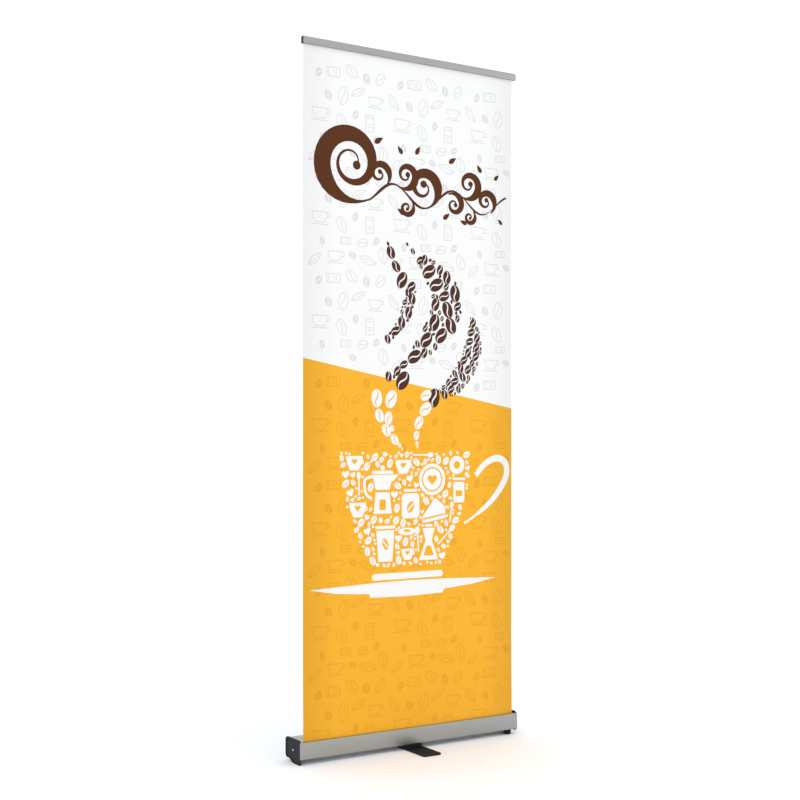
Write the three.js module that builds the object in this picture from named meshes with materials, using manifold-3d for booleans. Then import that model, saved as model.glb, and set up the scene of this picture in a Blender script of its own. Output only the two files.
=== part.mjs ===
// Roll-up banner stand: a floor cassette with a sprung roller, a telescopic pole behind the film,
// a clamp rail on top and a swivel foot below. Millimetres, +Z up. The origin is on the floor at
// the foot's pivot, +X runs along the cassette and the printed face looks towards -Y.

import * as THREE from 'three';
import { mergeVertices } from 'three/addons/utils/BufferGeometryUtils.js';
import Module from 'manifold-3d';

const wasm = await Module();
wasm.setup();

// ---------------------------------------------------------------- driving dimensions

const GAP = 0.3;                 // clearance between pieces that bear on each other

// printed film
const FILM_WIDTH = 800;
const FILM_SHOWN = 2150;         // from the cassette's top to the rail's lower edge
const FILM_THICK = 0.6;
const FILM_IN_RAIL = 15;         // length held between the jaws

// roller
const ROLLER_R = 16;
const ROLLER_WALL = 1.5;
const WOUND_BUILD = 0.6;         // turns of leader left on the roller
const AXLE_R = 5;
const PLUG_DEPTH = 16;
const PLUG_COLLAR = 1.7;
const SPRING_COIL_R = 9;
const SPRING_WIRE_R = 1.2;
const SPRING_TURNS = 18;
const SPRING_LENGTH = 200;
const ANCHOR_LENGTH = 14;

// cassette extrusion
const CASE_GROUND = 17;          // height of its underside
const CASE_WALL = 2;
const CASE_OVERHANG = 15.5;      // beyond the film at each end
const CASE_CORNER = 2.5;
const FRONT_LIP = 10;            // from the film to the front face
const SLOT_WIDTH = 6;
const SLOT_RETURN = 7;           // depth of the guides below the slot
const UNDER_ROLLER = 6.1;
const OVER_ROLLER = 9.1;
const PORT_R = 4.5;              // screw port on the web
const PORT_BORE = 1.9;
const PORT_Z = 40;
const ROLLER_TO_PORT = 1.1;
const POLE_TO_WEB = 9;
const REAR_SPACE = 14;

// end caps
const CAP_FLANGE = 3.7;
const CAP_POCKET = 2.2;          // depth of the recessed face
const CAP_RIM = 3;
const CAP_ABOVE = 6;             // rim above the extrusion
const CAP_BELOW = 6;             // rim below the extrusion
const CAP_PLUG_CLEAR = 1;        // from the film's edge to the plug
const CAP_PLUG_WALL = 1.8;
const CAP_BOSS_WALL = 3.7;
const CAP_SCREW_HEAD_R = 4;
const CAP_SCREW_HEAD = 1.8;
const CAP_SCREW_LENGTH = 26;
const LOBE_SLOPE_FROM = 22;      // where the underside starts to fall towards the foot lobe
const LOBE_SLOPE_TO = -2;

// dome feet
const DOME_R = 13;
const DOME_INSET = 30.5;         // from the end of the extrusion
const DOME_FROM_FACE = 16;       // from the front or rear face
const DOME_FLAT_R = 7;

// swivel foot
const FOOT_LENGTH = 318;
const FOOT_WIDTH = 66;
const FOOT_PLATE = 3.8;
const FOOT_RIM = 4;
const FOOT_RIM_HEIGHT = 1;
const FOOT_RIBS = 6;
const FOOT_RIB_WIDTH = 2.4;
const FOOT_CORNER = 6;
const FOOT_PAD = 1;
const FOOT_PAD_LENGTH = 26;
const FOOT_BLOCK_INSET = 4;      // the block's end behind the cassette's face
const PIVOT_R = 4;
const PIVOT_HEAD_R = 7;
const PIVOT_HEAD = 4.7;
const NUT_ACROSS = 13;
const NUT_HEIGHT = 6.5;
const WASHER_R = 8;
const WASHER_THICK = 1.5;

// telescopic pole
const POLE_R = 9.5;
const POLE_WALL = 1.2;
const POLE_STEP = 0.5;           // sliding clearance between two sections
const POLE_OVERLAP = 70;
const POLE_FLOOR_MARGIN = 44.7;
const SOCKET_WALL = 2.2;
const SOCKET_FLOOR = 2;
const SOCKET_GROUND = 8;         // above the extrusion's bottom wall
const SOCKET_FLANGE = 3;
const COLLAR_HEIGHT = 38;
const COLLAR_CAP = 13.7;         // length of the collar above its tube's end
const COLLAR_WALL = 2.7;
const COLLAR_STOP = 14;          // left between two stacked collars
const GUIDE_HEIGHT = 8;

// pole head and rail
const HEAD_DROP = 30;            // from the rail's lower edge to the head's lower end
const HEAD_HEIGHT = 26;
const HEAD_WALL = 2.8;
const ARM_WIDTH = 12;
const ARM_THICK = 10;
const PIN_R = 3;
const PIN_LENGTH = 19;
const RAIL_LENGTH = 814;
const RAIL_SHIFT = 4;            // the film is clamped a little off the rail's middle
const RAIL_HEIGHT = 22;
const RAIL_HALF_DEPTH = 8;
const RAIL_SKIN = 1.6;
const RAIL_BARREL_R = 3;
const RAIL_END = 2.5;
const JAW_BORE = 1.8;
const JAW_PIN_LENGTH = 9;
const GRIP_THICK = 0.8;
const GRIP_HEIGHT = 8;
const HANGER_WIDTH = 30;
const HANGER_DEPTH = 12;
const HANGER_HEIGHT = 18;

// ---------------------------------------------------------------- places that follow from them

const PORT_TO_ROLLER = PORT_R + ROLLER_TO_PORT;
const WOUND_INNER = ROLLER_R + GAP;
const WOUND_R = WOUND_INNER + WOUND_BUILD;
const ROLLER_Y = -(PORT_TO_ROLLER + WOUND_R);
const ROLLER_Z = CASE_GROUND + CASE_WALL + UNDER_ROLLER + WOUND_R;
const FILM_Y = ROLLER_Y - WOUND_R - GAP - FILM_THICK / 2;
const CASE_TOP = ROLLER_Z + WOUND_R + OVER_ROLLER + CASE_WALL;
const CASE_FRONT = FILM_Y - FRONT_LIP;
const CASE_END = FILM_WIDTH / 2 + CASE_OVERHANG;
const CAP_INNER = CASE_END - CAP_FLANGE;
const SOCKET_R = POLE_R + GAP + SOCKET_WALL;
const POLE_Y = CASE_WALL / 2 + POLE_TO_WEB + SOCKET_R;
const CASE_REAR = POLE_Y + SOCKET_R + REAR_SPACE + CASE_WALL;
const RAIL_BOTTOM = CASE_TOP + FILM_SHOWN;

const SOCKET_BOTTOM = CASE_GROUND + CASE_WALL + SOCKET_GROUND;
const POLE_BOTTOM = SOCKET_BOTTOM + SOCKET_FLOOR + GAP;
const HEAD_BOTTOM = RAIL_BOTTOM - HEAD_DROP;
const STROKE = (HEAD_BOTTOM - POLE_BOTTOM - COLLAR_HEIGHT - 2 * COLLAR_STOP
  - POLE_OVERLAP - POLE_FLOOR_MARGIN) / 3;
const MIDDLE_COLLAR_TOP = HEAD_BOTTOM - COLLAR_STOP - STROKE;
const LOWER_COLLAR_TOP = MIDDLE_COLLAR_TOP - COLLAR_HEIGHT - COLLAR_STOP - STROKE;

const DOME_X = CASE_END - DOME_INSET;
const FOOT_TOP = CASE_GROUND - GAP;
const ARM_TOP = HEAD_BOTTOM + HEAD_HEIGHT;

// ---------------------------------------------------------------- materials

const finish = (color, metalness, roughness) =>
  new THREE.MeshStandardMaterial({ color, metalness, roughness });

const ALUMINIUM = finish(0xa6a7a5, 0.85, 0.42);
const STEEL = finish(0x9b9ca0, 0.9, 0.35);
const BLACK_PLASTIC = finish(0x26262a, 0, 0.55);
const GREY_PLASTIC = finish(0x6d6e70, 0, 0.6);
const RUBBER = finish(0x1c1b1b, 0, 0.85);
const FILM = finish(0xf2f2f0, 0, 0.6);
const LEADER = finish(0xd9d9d6, 0, 0.7);

// ---------------------------------------------------------------- shape helpers

/** A shape through corners [a, b, radius], anticlockwise, each edge moved inward by inset. */
function outline(corners, inset = 0) {
  const count = corners.length;
  const points = corners.map(([a, b]) => new THREE.Vector2(a, b));
  const ways = points.map((p, i) => points[(i + 1) % count].clone().sub(p).normalize());
  const shape = new THREE.Shape();
  points.forEach((point, i) => {
    const before = ways[(i + count - 1) % count];
    const after = ways[i];
    const bend = before.cross(after);
    const inwardBefore = new THREE.Vector2(-before.y, before.x);
    const inwardAfter = new THREE.Vector2(-after.y, after.x);
    const corner = point.clone().addScaledVector(
      inwardBefore.clone().add(inwardAfter), inset / (1 + before.dot(after)));
    const side = Math.sign(bend);
    const radius = Math.max(corners[i][2] - side * inset, 0);
    if (radius === 0) {
      if (i === 0) shape.moveTo(corner.x, corner.y);
      else shape.lineTo(corner.x, corner.y);
      return;
    }
    const tangent = radius * Math.tan(Math.acos(before.dot(after)) / 2);
    const from = corner.clone().addScaledVector(before, -tangent);
    const to = corner.clone().addScaledVector(after, tangent);
    const centre = from.clone().addScaledVector(inwardBefore, side * radius);
    const start = Math.atan2(from.y - centre.y, from.x - centre.x);
    const end = Math.atan2(to.y - centre.y, to.x - centre.x);
    shape.absarc(centre.x, centre.y, radius, start, end, side < 0);
  });
  shape.closePath();
  return shape;
}

/** The corners of a rectangle, all with one radius. */
const box = (a0, b0, a1, b1, radius = 0) =>
  [[a0, b0, radius], [a1, b0, radius], [a1, b1, radius], [a0, b1, radius]];

/** A shape drawn in Y and Z, extruded from x0 to x1. */
function alongX(shape, x0, x1, curveSegments = 3) {
  const geometry = new THREE.ExtrudeGeometry(shape, { depth: x1 - x0, bevelEnabled: false, curveSegments });
  const axes = new THREE.Matrix4().makeBasis(
    new THREE.Vector3(0, 1, 0), new THREE.Vector3(0, 0, 1), new THREE.Vector3(1, 0, 0));
  return geometry.applyMatrix4(axes.setPosition(x0, 0, 0));
}

/** A shape drawn in X and Y, extruded from z0 to z1. */
const upright = (shape, z0, z1, curveSegments = 3) =>
  new THREE.ExtrudeGeometry(shape, { depth: z1 - z0, bevelEnabled: false, curveSegments })
    .translate(0, 0, z0);

/** A profile of [radius, height] pairs, upwards on its outer side, turned about Z. */
function turned(profile, segments = 24) {
  const closes = profile[0][0] > 0;
  const points = (closes ? [...profile, profile[0]] : profile).map(([r, z]) => new THREE.Vector2(r, z));
  return new THREE.LatheGeometry(points, segments).rotateX(Math.PI / 2);
}

/** A round bar or, with an inner radius, a tube along Z. */
function round(outer, z0, z1, inner = 0, segments = 24) {
  return inner > 0
    ? turned([[inner, z0], [outer, z0], [outer, z1], [inner, z1]], segments)
    : turned([[0, z0], [outer, z0], [outer, z1], [0, z1]], segments);
}

/** The same, along X at a height and depth. */
const roundX = (outer, x0, x1, y, z, inner = 0, segments = 24) =>
  round(outer, x0, x1, inner, segments).rotateY(Math.PI / 2).translate(0, y, z);

/** A geometry's vertices merged, as a solid; triangles that shrink to a line are left out. */
function toSolid(geometry) {
  const bare = geometry.clone();
  bare.deleteAttribute('normal');
  bare.deleteAttribute('uv');
  const merged = mergeVertices(bare, 1e-4);
  const triangles = [];
  for (let i = 0; i < merged.index.count; i += 3) {
    const [a, b, c] = merged.index.array.slice(i, i + 3);
    if (a !== b && b !== c && c !== a) triangles.push(a, b, c);
  }
  return new wasm.Manifold(new wasm.Mesh({
    numProp: 3,
    vertProperties: new Float32Array(merged.attributes.position.array),
    triVerts: new Uint32Array(triangles),
  }));
}

function toGeometry(solid) {
  const { numProp, vertProperties, triVerts } = solid.getMesh();
  const geometry = new THREE.BufferGeometry();
  const position = new Float32Array(vertProperties.length / numProp * 3);
  for (let i = 0; i < position.length; i += 3) {
    const at = i / 3 * numProp;
    position.set(vertProperties.subarray(at, at + 3), i);
  }
  geometry.setAttribute('position', new THREE.BufferAttribute(position, 3));
  geometry.setIndex(new THREE.BufferAttribute(triVerts, 1));
  geometry.computeVertexNormals();
  return geometry;
}

/** The first geometries joined, with the second list cut away. */
function shaped(joined, removed = []) {
  let solid = toSolid(joined[0]);
  for (const geometry of joined.slice(1)) solid = solid.add(toSolid(geometry));
  for (const geometry of removed) solid = solid.subtract(toSolid(geometry));
  return toGeometry(solid);
}

/** Adds a named mesh to a group. */
function piece(group, name, geometry, material) {
  const mesh = new THREE.Mesh(geometry, material);
  mesh.name = name;
  group.add(mesh);
  return mesh;
}

const stand = new THREE.Group();

/** A nested group at a place. */
function groupAt(x, y, z) {
  const group = new THREE.Group();
  group.position.set(x, y, z);
  stand.add(group);
  return group;
}

// ---------------------------------------------------------------- cassette

const past = 1;                  // how far a cutting tool runs past the face that it cuts

/** The extrusion: two chambers, a web with a screw port, and a slot that lets the film out. */
function cassetteProfile() {
  const walls = outline(box(CASE_FRONT, CASE_GROUND, CASE_REAR, CASE_TOP, CASE_CORNER));
  const floor = CASE_GROUND + CASE_WALL;
  const roof = CASE_TOP - CASE_WALL;
  const halfWeb = CASE_WALL / 2;
  const chambers = [
    box(CASE_FRONT + CASE_WALL, floor, -halfWeb, roof),
    box(halfWeb, floor, CASE_REAR - CASE_WALL, roof),
  ].map((corners) => alongX(outline(corners), -CASE_END - past, CASE_END + past));
  const halfSlot = SLOT_WIDTH / 2;
  const guides = [-1, 1].map((side) => {
    const inner = FILM_Y + side * halfSlot;
    const outer = inner + side * CASE_WALL;
    return alongX(outline(box(Math.min(inner, outer), roof - SLOT_RETURN + CASE_WALL,
      Math.max(inner, outer), CASE_TOP - CASE_WALL / 2)), -CASE_END, CASE_END);
  });
  const slot = alongX(outline(box(FILM_Y - halfSlot, roof - SLOT_RETURN, FILM_Y + halfSlot,
    CASE_TOP + past)), -CASE_END - past, CASE_END + past);
  const port = roundX(PORT_R, -CASE_END, CASE_END, 0, PORT_Z);
  const portBore = roundX(PORT_BORE, -CASE_END - past, CASE_END + past, 0, PORT_Z, 0, 16);
  // only the front and rear walls run out to the ends, and they lap the end caps' flanges
  const rebates = [-1, 1].map((side) => {
    const from = side * (CAP_INNER - GAP);
    const to = side * (CASE_END + past);
    return alongX(outline(box(CASE_FRONT + CASE_WALL, CASE_GROUND - past, CASE_REAR - CASE_WALL,
      CASE_TOP + past)), Math.min(from, to), Math.max(from, to));
  });
  const webNotch = alongX(outline(box(-CASE_WALL, floor, CASE_WALL, PORT_Z - PORT_R - 2 * CASE_WALL)),
    -WASHER_R - CASE_WALL, WASHER_R + CASE_WALL);
  const pivotHole = round(PIVOT_R + GAP, CASE_GROUND - past, floor + past);
  const socketHole = round(SOCKET_R + GAP, roof - past, CASE_TOP + past, 0, 32).translate(0, POLE_Y, 0);
  const footHoles = domePlaces().map(([x, y]) =>
    round(PORT_BORE + GAP, CASE_GROUND - past, floor + past, 0, 12).translate(x, y, 0));
  const shell = shaped([alongX(walls, -CASE_END, CASE_END)], chambers);
  return shaped([shell, ...guides, port],
    [portBore, slot, ...rebates, webNotch, pivotHole, socketHole, ...footHoles]);
}

/** The two dome feet stand diagonally, where the end caps have no lobe. */
function domePlaces() {
  return [
    [DOME_X, CASE_FRONT + DOME_FROM_FACE],
    [-DOME_X, CASE_REAR - DOME_FROM_FACE],
  ];
}

/** An end cap: flange with a raised rim and a foot lobe, a plug for each chamber, an axle boss. */
function endCap(side) {
  const front = CASE_FRONT + CASE_WALL + GAP;
  const rear = CASE_REAR - CASE_WALL - GAP;
  const top = CASE_TOP + CAP_ABOVE;
  const low = CASE_GROUND - CAP_BELOW;
  // drawn with the lobe at the front, as on the left cap, and mirrored for the right one
  const corners = [
    [front, 0, 4], [LOBE_SLOPE_TO, 0, 9], [LOBE_SLOPE_FROM, low, 9], [rear, low, 10],
    [rear, top, 13], [front, top, 10],
  ];
  const facing = side < 0
    ? corners
    : corners.map(([y, z, r]) => [front + rear - y, z, r]).reverse();
  const spanX = (inner, outer) => [Math.min(side * inner, side * outer), Math.max(side * inner, side * outer)];
  const flange = alongX(outline(facing), ...spanX(CAP_INNER, CASE_END), 4);
  const pocket = alongX(outline(facing, CAP_RIM), ...spanX(CASE_END - CAP_POCKET, CASE_END + past), 4);
  const floor = CASE_GROUND + CASE_WALL + GAP;
  const roof = CASE_TOP - CASE_WALL - GAP;
  const halfWeb = CASE_WALL / 2 + GAP;
  const chambers = [
    [front, -halfWeb, roof - SLOT_RETURN],
    [halfWeb, rear, roof],
  ];
  const plugEnd = FILM_WIDTH / 2 + CAP_PLUG_CLEAR;
  const plugs = chambers.map(([y0, y1, high]) => {
    const ring = outline(box(y0, floor, y1, high, 1));
    ring.holes.push(outline(box(y0, floor, y1, high, 1), CAP_PLUG_WALL));
    return alongX(ring, ...spanX(plugEnd, CAP_INNER + CAP_FLANGE / 4), 2);
  });
  const bossR = AXLE_R + GAP + CAP_BOSS_WALL;
  const bossEnd = FILM_WIDTH / 2 + PLUG_COLLAR + 2 * GAP;
  const boss = roundX(bossR, ...spanX(bossEnd, CAP_INNER + CAP_FLANGE / 4), ROLLER_Y, ROLLER_Z);
  const axleBore = roundX(AXLE_R + GAP, ...spanX(bossEnd - past, CAP_INNER), ROLLER_Y, ROLLER_Z);
  const portRoom = roundX(PORT_R + GAP, ...spanX(plugEnd - past, CAP_INNER), 0, PORT_Z);
  const screwHole = roundX(PORT_BORE + GAP, ...spanX(CAP_INNER - past, CASE_END + past), 0, PORT_Z, 0, 16);
  const rollerRoom = roundX(WOUND_R + GAP, ...spanX(plugEnd - past, bossEnd),
    ROLLER_Y, ROLLER_Z, 0, 32);
  return shaped([flange, ...plugs, boss], [pocket, axleBore, portRoom, screwHole, rollerRoom]);
}

/** A pan-head screw that runs through an end cap into the extrusion's screw port. */
function capScrew(side) {
  const seat = CASE_END - CAP_POCKET + GAP;
  const head = seat + CAP_SCREW_HEAD;
  const shank = PORT_BORE - GAP;
  const turnedScrew = turned([[0, head - CAP_SCREW_LENGTH], [shank, head - CAP_SCREW_LENGTH], [shank, seat],
    [CAP_SCREW_HEAD_R, seat], [CAP_SCREW_HEAD_R, seat + CAP_SCREW_HEAD / 2],
    [CAP_SCREW_HEAD_R - 1, head], [0, head]]);
  const slots = [0, Math.PI / 2].map((turn) =>
    new THREE.BoxGeometry(CAP_SCREW_HEAD_R, 0.9, 2).translate(0, 0, head).rotateZ(turn));
  return shaped([turnedScrew], slots)
    .rotateY(side * Math.PI / 2).translate(0, 0, PORT_Z);
}

const cassette = groupAt(0, 0, 0);
piece(cassette, 'cassette_profile', cassetteProfile(), ALUMINIUM);
for (const [side, name] of [[-1, 'left'], [1, 'right']]) {
  piece(cassette, `end_cap_${name}`, endCap(side), BLACK_PLASTIC);
  piece(cassette, `end_cap_screw_${name}`, capScrew(side), STEEL);
}

/** A domed rubber foot with a sunk screw hole. */
function domeFoot() {
  const height = CASE_GROUND - GAP;
  const steps = 6;
  const dome = Array.from({ length: steps + 1 }, (_, i) => {
    const turn = i / steps * Math.PI / 2;
    const out = DOME_FLAT_R + (DOME_R - DOME_FLAT_R) * Math.sin(turn);
    return [out, (height - 4) * (1 - Math.cos(turn))];
  });
  return turned([[PORT_BORE + 2 * GAP, 6], [5, 6], [5, 0], ...dome, [DOME_R, height],
    [PORT_BORE + 2 * GAP, height]]);
}

/** The countersunk screw that holds a dome foot to the extrusion's floor. */
const domeScrew = () => turned([[0, 3], [4.5, 3], [4.5, 4.4], [PORT_BORE, 6 - GAP],
  [PORT_BORE, CASE_GROUND + CASE_WALL + 5], [0, CASE_GROUND + CASE_WALL + 5]], 16);

domePlaces().forEach(([x, y], i) => {
  const name = i === 0 ? 'right' : 'left';
  piece(cassette, `dome_foot_${name}`, domeFoot(), RUBBER).position.set(x, y, 0);
  piece(cassette, `dome_foot_screw_${name}`, domeScrew(), STEEL).position.set(x, y, 0);
});

// ---------------------------------------------------------------- roller, drawn along local Z = X

const roller = groupAt(0, ROLLER_Y, ROLLER_Z);
roller.rotation.y = Math.PI / 2;
const halfFilm = FILM_WIDTH / 2;
const tubeBore = ROLLER_R - ROLLER_WALL;
const axleEnd = CAP_INNER - GAP;

piece(roller, 'roller_tube', round(ROLLER_R, -halfFilm, halfFilm, tubeBore, 32), ALUMINIUM);
piece(roller, 'wound_leader', round(WOUND_R, -halfFilm, halfFilm, WOUND_INNER, 32), LEADER);

/** A plug that closes the tube's end and turns on the axle. */
const rollerPlug = () => {
  const collar = halfFilm + PLUG_COLLAR;
  const seat = halfFilm + GAP;
  const bore = AXLE_R + GAP;
  return turned([[bore, halfFilm - PLUG_DEPTH], [tubeBore - GAP, halfFilm - PLUG_DEPTH],
    [tubeBore - GAP, seat], [ROLLER_R, seat], [ROLLER_R, collar], [bore, collar]], 28);
};
piece(roller, 'roller_plug_right', rollerPlug(), GREY_PLASTIC);
piece(roller, 'roller_plug_left', rollerPlug(), GREY_PLASTIC).rotation.y = Math.PI;
piece(roller, 'idle_axle', round(AXLE_R, -axleEnd, -axleEnd + 2 * PLUG_DEPTH), STEEL);

const fixedAnchorEnd = halfFilm - PLUG_DEPTH - GAP;
const springStart = fixedAnchorEnd - ANCHOR_LENGTH - GAP - SPRING_WIRE_R;
const driveAnchorEnd = springStart - SPRING_LENGTH - GAP - SPRING_WIRE_R;
const shaftStart = driveAnchorEnd - ANCHOR_LENGTH - PLUG_COLLAR;
piece(roller, 'spring_shaft', round(AXLE_R, shaftStart, axleEnd), STEEL);
piece(roller, 'spring_anchor_fixed',
  round(SPRING_COIL_R, fixedAnchorEnd - ANCHOR_LENGTH, fixedAnchorEnd, AXLE_R + GAP), GREY_PLASTIC);
piece(roller, 'spring_anchor_drive',
  round(tubeBore - GAP, driveAnchorEnd - ANCHOR_LENGTH, driveAnchorEnd, AXLE_R + GAP), GREY_PLASTIC);

/** The torsion spring's centre line. */
class Coil extends THREE.Curve {
  getPoint(share, target = new THREE.Vector3()) {
    const turn = share * SPRING_TURNS * 2 * Math.PI;
    return target.set(SPRING_COIL_R * Math.cos(turn), SPRING_COIL_R * Math.sin(turn),
      springStart - share * SPRING_LENGTH);
  }
}
const wireSection = new THREE.Shape().absarc(0, 0, SPRING_WIRE_R, 0, 2 * Math.PI);
piece(roller, 'torsion_spring', new THREE.ExtrudeGeometry(wireSection, {
  extrudePath: new Coil(), steps: SPRING_TURNS * 10, curveSegments: 3, bevelEnabled: false,
}), STEEL);

// ---------------------------------------------------------------- swivel foot

const foot = groupAt(0, 0, 0);

/** The bar: a thin plate with a rim and lengthwise ribs, and a block that fills the space below. */
function swivelFoot() {
  const halfWidth = FOOT_WIDTH / 2;
  const halfLength = FOOT_LENGTH / 2;
  const underside = FOOT_PAD;
  const deck = underside + FOOT_PLATE;
  const rimTop = deck + FOOT_RIM_HEIGHT;
  const plan = box(-halfWidth, -halfLength, halfWidth, halfLength, FOOT_CORNER);
  const plate = upright(outline(plan), underside, rimTop);
  const well = upright(outline(plan, FOOT_RIM), deck, rimTop + past);
  const spacing = (FOOT_WIDTH - 2 * FOOT_RIM) / (FOOT_RIBS + 1);
  const ribs = Array.from({ length: FOOT_RIBS }, (_, i) => {
    const x = -halfWidth + FOOT_RIM + spacing * (i + 1);
    return upright(outline(box(x - FOOT_RIB_WIDTH / 2, -halfLength + FOOT_RIM / 2,
      x + FOOT_RIB_WIDTH / 2, halfLength - FOOT_RIM / 2)), underside + past, rimTop - GAP);
  });
  const blockEnd = CASE_REAR - FOOT_BLOCK_INSET;
  const block = upright(outline(box(-halfWidth, -blockEnd, halfWidth, blockEnd, 3)), underside, FOOT_TOP);
  const bore = round(PIVOT_R + GAP, 0, FOOT_TOP + past);
  const headRoom = round(PIVOT_HEAD_R + GAP, 0, underside + 2 * GAP + PIVOT_HEAD);
  return shaped([shaped([plate], [well]), ...ribs, block], [bore, headRoom]);
}
piece(foot, 'swivel_foot', swivelFoot(), BLACK_PLASTIC);

for (const [side, name] of [[-1, 'front'], [1, 'rear']]) {
  const far = FOOT_LENGTH / 2 - FOOT_RIM;
  const near = far - FOOT_PAD_LENGTH;
  const half = FOOT_WIDTH / 2 - FOOT_RIM;
  piece(foot, `foot_pad_${name}`,
    upright(outline(box(-half, Math.min(side * near, side * far), half, Math.max(side * near, side * far), 3)),
      0, FOOT_PAD - GAP), RUBBER);
}

const pivotSeat = FOOT_PAD + GAP + PIVOT_HEAD;
const caseFloor = CASE_GROUND + CASE_WALL;
const washerBottom = caseFloor + GAP;
const nutBottom = washerBottom + WASHER_THICK + GAP;
const hexKey = new THREE.CylinderGeometry(2.9, 2.9, 5, 6).rotateX(Math.PI / 2)
  .translate(0, 0, pivotSeat - PIVOT_HEAD);
piece(foot, 'pivot_bolt', shaped([turned([[0, pivotSeat - PIVOT_HEAD], [PIVOT_HEAD_R, pivotSeat - PIVOT_HEAD],
  [PIVOT_HEAD_R, pivotSeat], [PIVOT_R, pivotSeat], [PIVOT_R, nutBottom + NUT_HEIGHT + 2],
  [0, nutBottom + NUT_HEIGHT + 2]])], [hexKey]), STEEL);
piece(foot, 'pivot_washer', round(WASHER_R, washerBottom, washerBottom + WASHER_THICK, PIVOT_R + GAP), STEEL);
piece(foot, 'pivot_nut', shaped([new THREE.CylinderGeometry(NUT_ACROSS / Math.sqrt(3), NUT_ACROSS / Math.sqrt(3),
  NUT_HEIGHT, 6).rotateX(Math.PI / 2).translate(0, 0, nutBottom + NUT_HEIGHT / 2)],
[round(PIVOT_R + GAP, nutBottom - past, nutBottom + NUT_HEIGHT + past)]), STEEL);

// ---------------------------------------------------------------- telescopic pole

const pole = groupAt(0, POLE_Y, 0);

const socketTop = CASE_TOP + GAP + 2;
piece(pole, 'pole_socket', shaped([
  turned([[0, SOCKET_BOTTOM], [SOCKET_R, SOCKET_BOTTOM], [SOCKET_R, CASE_TOP + GAP],
    [SOCKET_R + SOCKET_FLANGE, CASE_TOP + GAP], [SOCKET_R + SOCKET_FLANGE, socketTop], [0, socketTop]], 32),
], [round(POLE_R + GAP, SOCKET_BOTTOM + SOCKET_FLOOR, socketTop + past, 0, 32)]), BLACK_PLASTIC);

const sections = [
  { name: 'lower', outer: POLE_R, bottom: POLE_BOTTOM, top: LOWER_COLLAR_TOP - COLLAR_CAP },
];
for (const [name, base, top] of [
  ['middle', LOWER_COLLAR_TOP, MIDDLE_COLLAR_TOP - COLLAR_CAP],
  ['upper', MIDDLE_COLLAR_TOP, ARM_TOP - HEAD_WALL - GAP],
]) {
  const outer = sections.at(-1).outer - POLE_WALL - POLE_STEP;
  sections.push({ name, outer, bottom: base - POLE_OVERLAP + GUIDE_HEIGHT, top });
}

sections.forEach(({ name, outer, bottom, top }, i) => {
  piece(pole, `pole_${name}`, round(outer, bottom, top, outer - POLE_WALL), ALUMINIUM);
  const above = sections[i + 1];
  if (above) {
    // a twist-lock collar: a sleeve round this tube's end with a throat for the next tube
    const collarTop = top + COLLAR_CAP;
    const sleeve = outer + GAP;
    const out = sleeve + COLLAR_WALL;
    piece(pole, `lock_collar_${name}`, turned([[sleeve, collarTop - COLLAR_HEIGHT],
      [out - 1, collarTop - COLLAR_HEIGHT], [out, collarTop - COLLAR_HEIGHT + 2], [out, collarTop - 6],
      [out - 2, collarTop], [above.outer + GAP, collarTop], [above.outer + GAP, top + GAP],
      [sleeve, top + GAP]], 28), BLACK_PLASTIC);
  }
  if (i > 0) {
    // a guide bush on this tube's lower end, which runs in the tube below
    const below = sections[i - 1];
    piece(pole, `pole_guide_${name}`, turned([[outer - POLE_WALL, bottom - GAP - GUIDE_HEIGHT],
      [below.outer - POLE_WALL - GAP, bottom - GAP - GUIDE_HEIGHT],
      [below.outer - POLE_WALL - GAP, bottom - GAP], [outer - POLE_WALL, bottom - GAP]]), GREY_PLASTIC);
  }
});

/** The head: a sleeve on the top tube, an arm that reaches to the rail and a pin that carries it. */
function poleHead() {
  const tube = sections.at(-1).outer;
  const sleeveR = tube + GAP + HEAD_WALL;
  const reach = RAIL_HALF_DEPTH + GAP + HANGER_DEPTH / 2;
  const pinY = FILM_Y + reach - POLE_Y;
  const arm = upright(outline(box(-ARM_WIDTH / 2, pinY - ARM_WIDTH / 2, ARM_WIDTH / 2, 0, 2)),
    ARM_TOP - ARM_THICK, ARM_TOP);
  return shaped([round(sleeveR, HEAD_BOTTOM, ARM_TOP), arm,
    round(PIN_R, ARM_TOP - past, ARM_TOP + PIN_LENGTH, 0, 16).translate(0, pinY, 0)],
  [round(tube + GAP, HEAD_BOTTOM - past, ARM_TOP - HEAD_WALL)]);
}
piece(pole, 'pole_head', poleHead(), BLACK_PLASTIC);

// ---------------------------------------------------------------- clamp rail, drawn about the film

const rail = groupAt(RAIL_SHIFT, FILM_Y, RAIL_BOTTOM);
const halfRail = RAIL_LENGTH / 2;
const jawEnd = halfRail - RAIL_END;
const halfGrip = FILM_THICK / 2 + GAP;
const barrelY = -RAIL_HALF_DEPTH + RAIL_BARREL_R;
const barrelZ = RAIL_HEIGHT - RAIL_BARREL_R;

/** The rear jaw: a hollow bar behind the film with a bridge over the top. */
function rearJaw() {
  const face = halfGrip + GRIP_THICK + GAP;
  const bridge = barrelY + RAIL_BARREL_R + GAP;
  const section = outline([
    [face, 0, 0], [RAIL_HALF_DEPTH, 0, 1.5], [RAIL_HALF_DEPTH, RAIL_HEIGHT, 2], [bridge, RAIL_HEIGHT, 0.4],
    [bridge, RAIL_HEIGHT - RAIL_BARREL_R, 0], [face, RAIL_HEIGHT - RAIL_BARREL_R, 0],
  ]);
  const hollow = outline(box(face + RAIL_SKIN, RAIL_SKIN, RAIL_HALF_DEPTH - RAIL_SKIN,
    RAIL_HEIGHT - RAIL_SKIN));
  return shaped([alongX(section, -jawEnd, jawEnd)], [alongX(hollow, -jawEnd - past, jawEnd + past)]);
}

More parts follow.
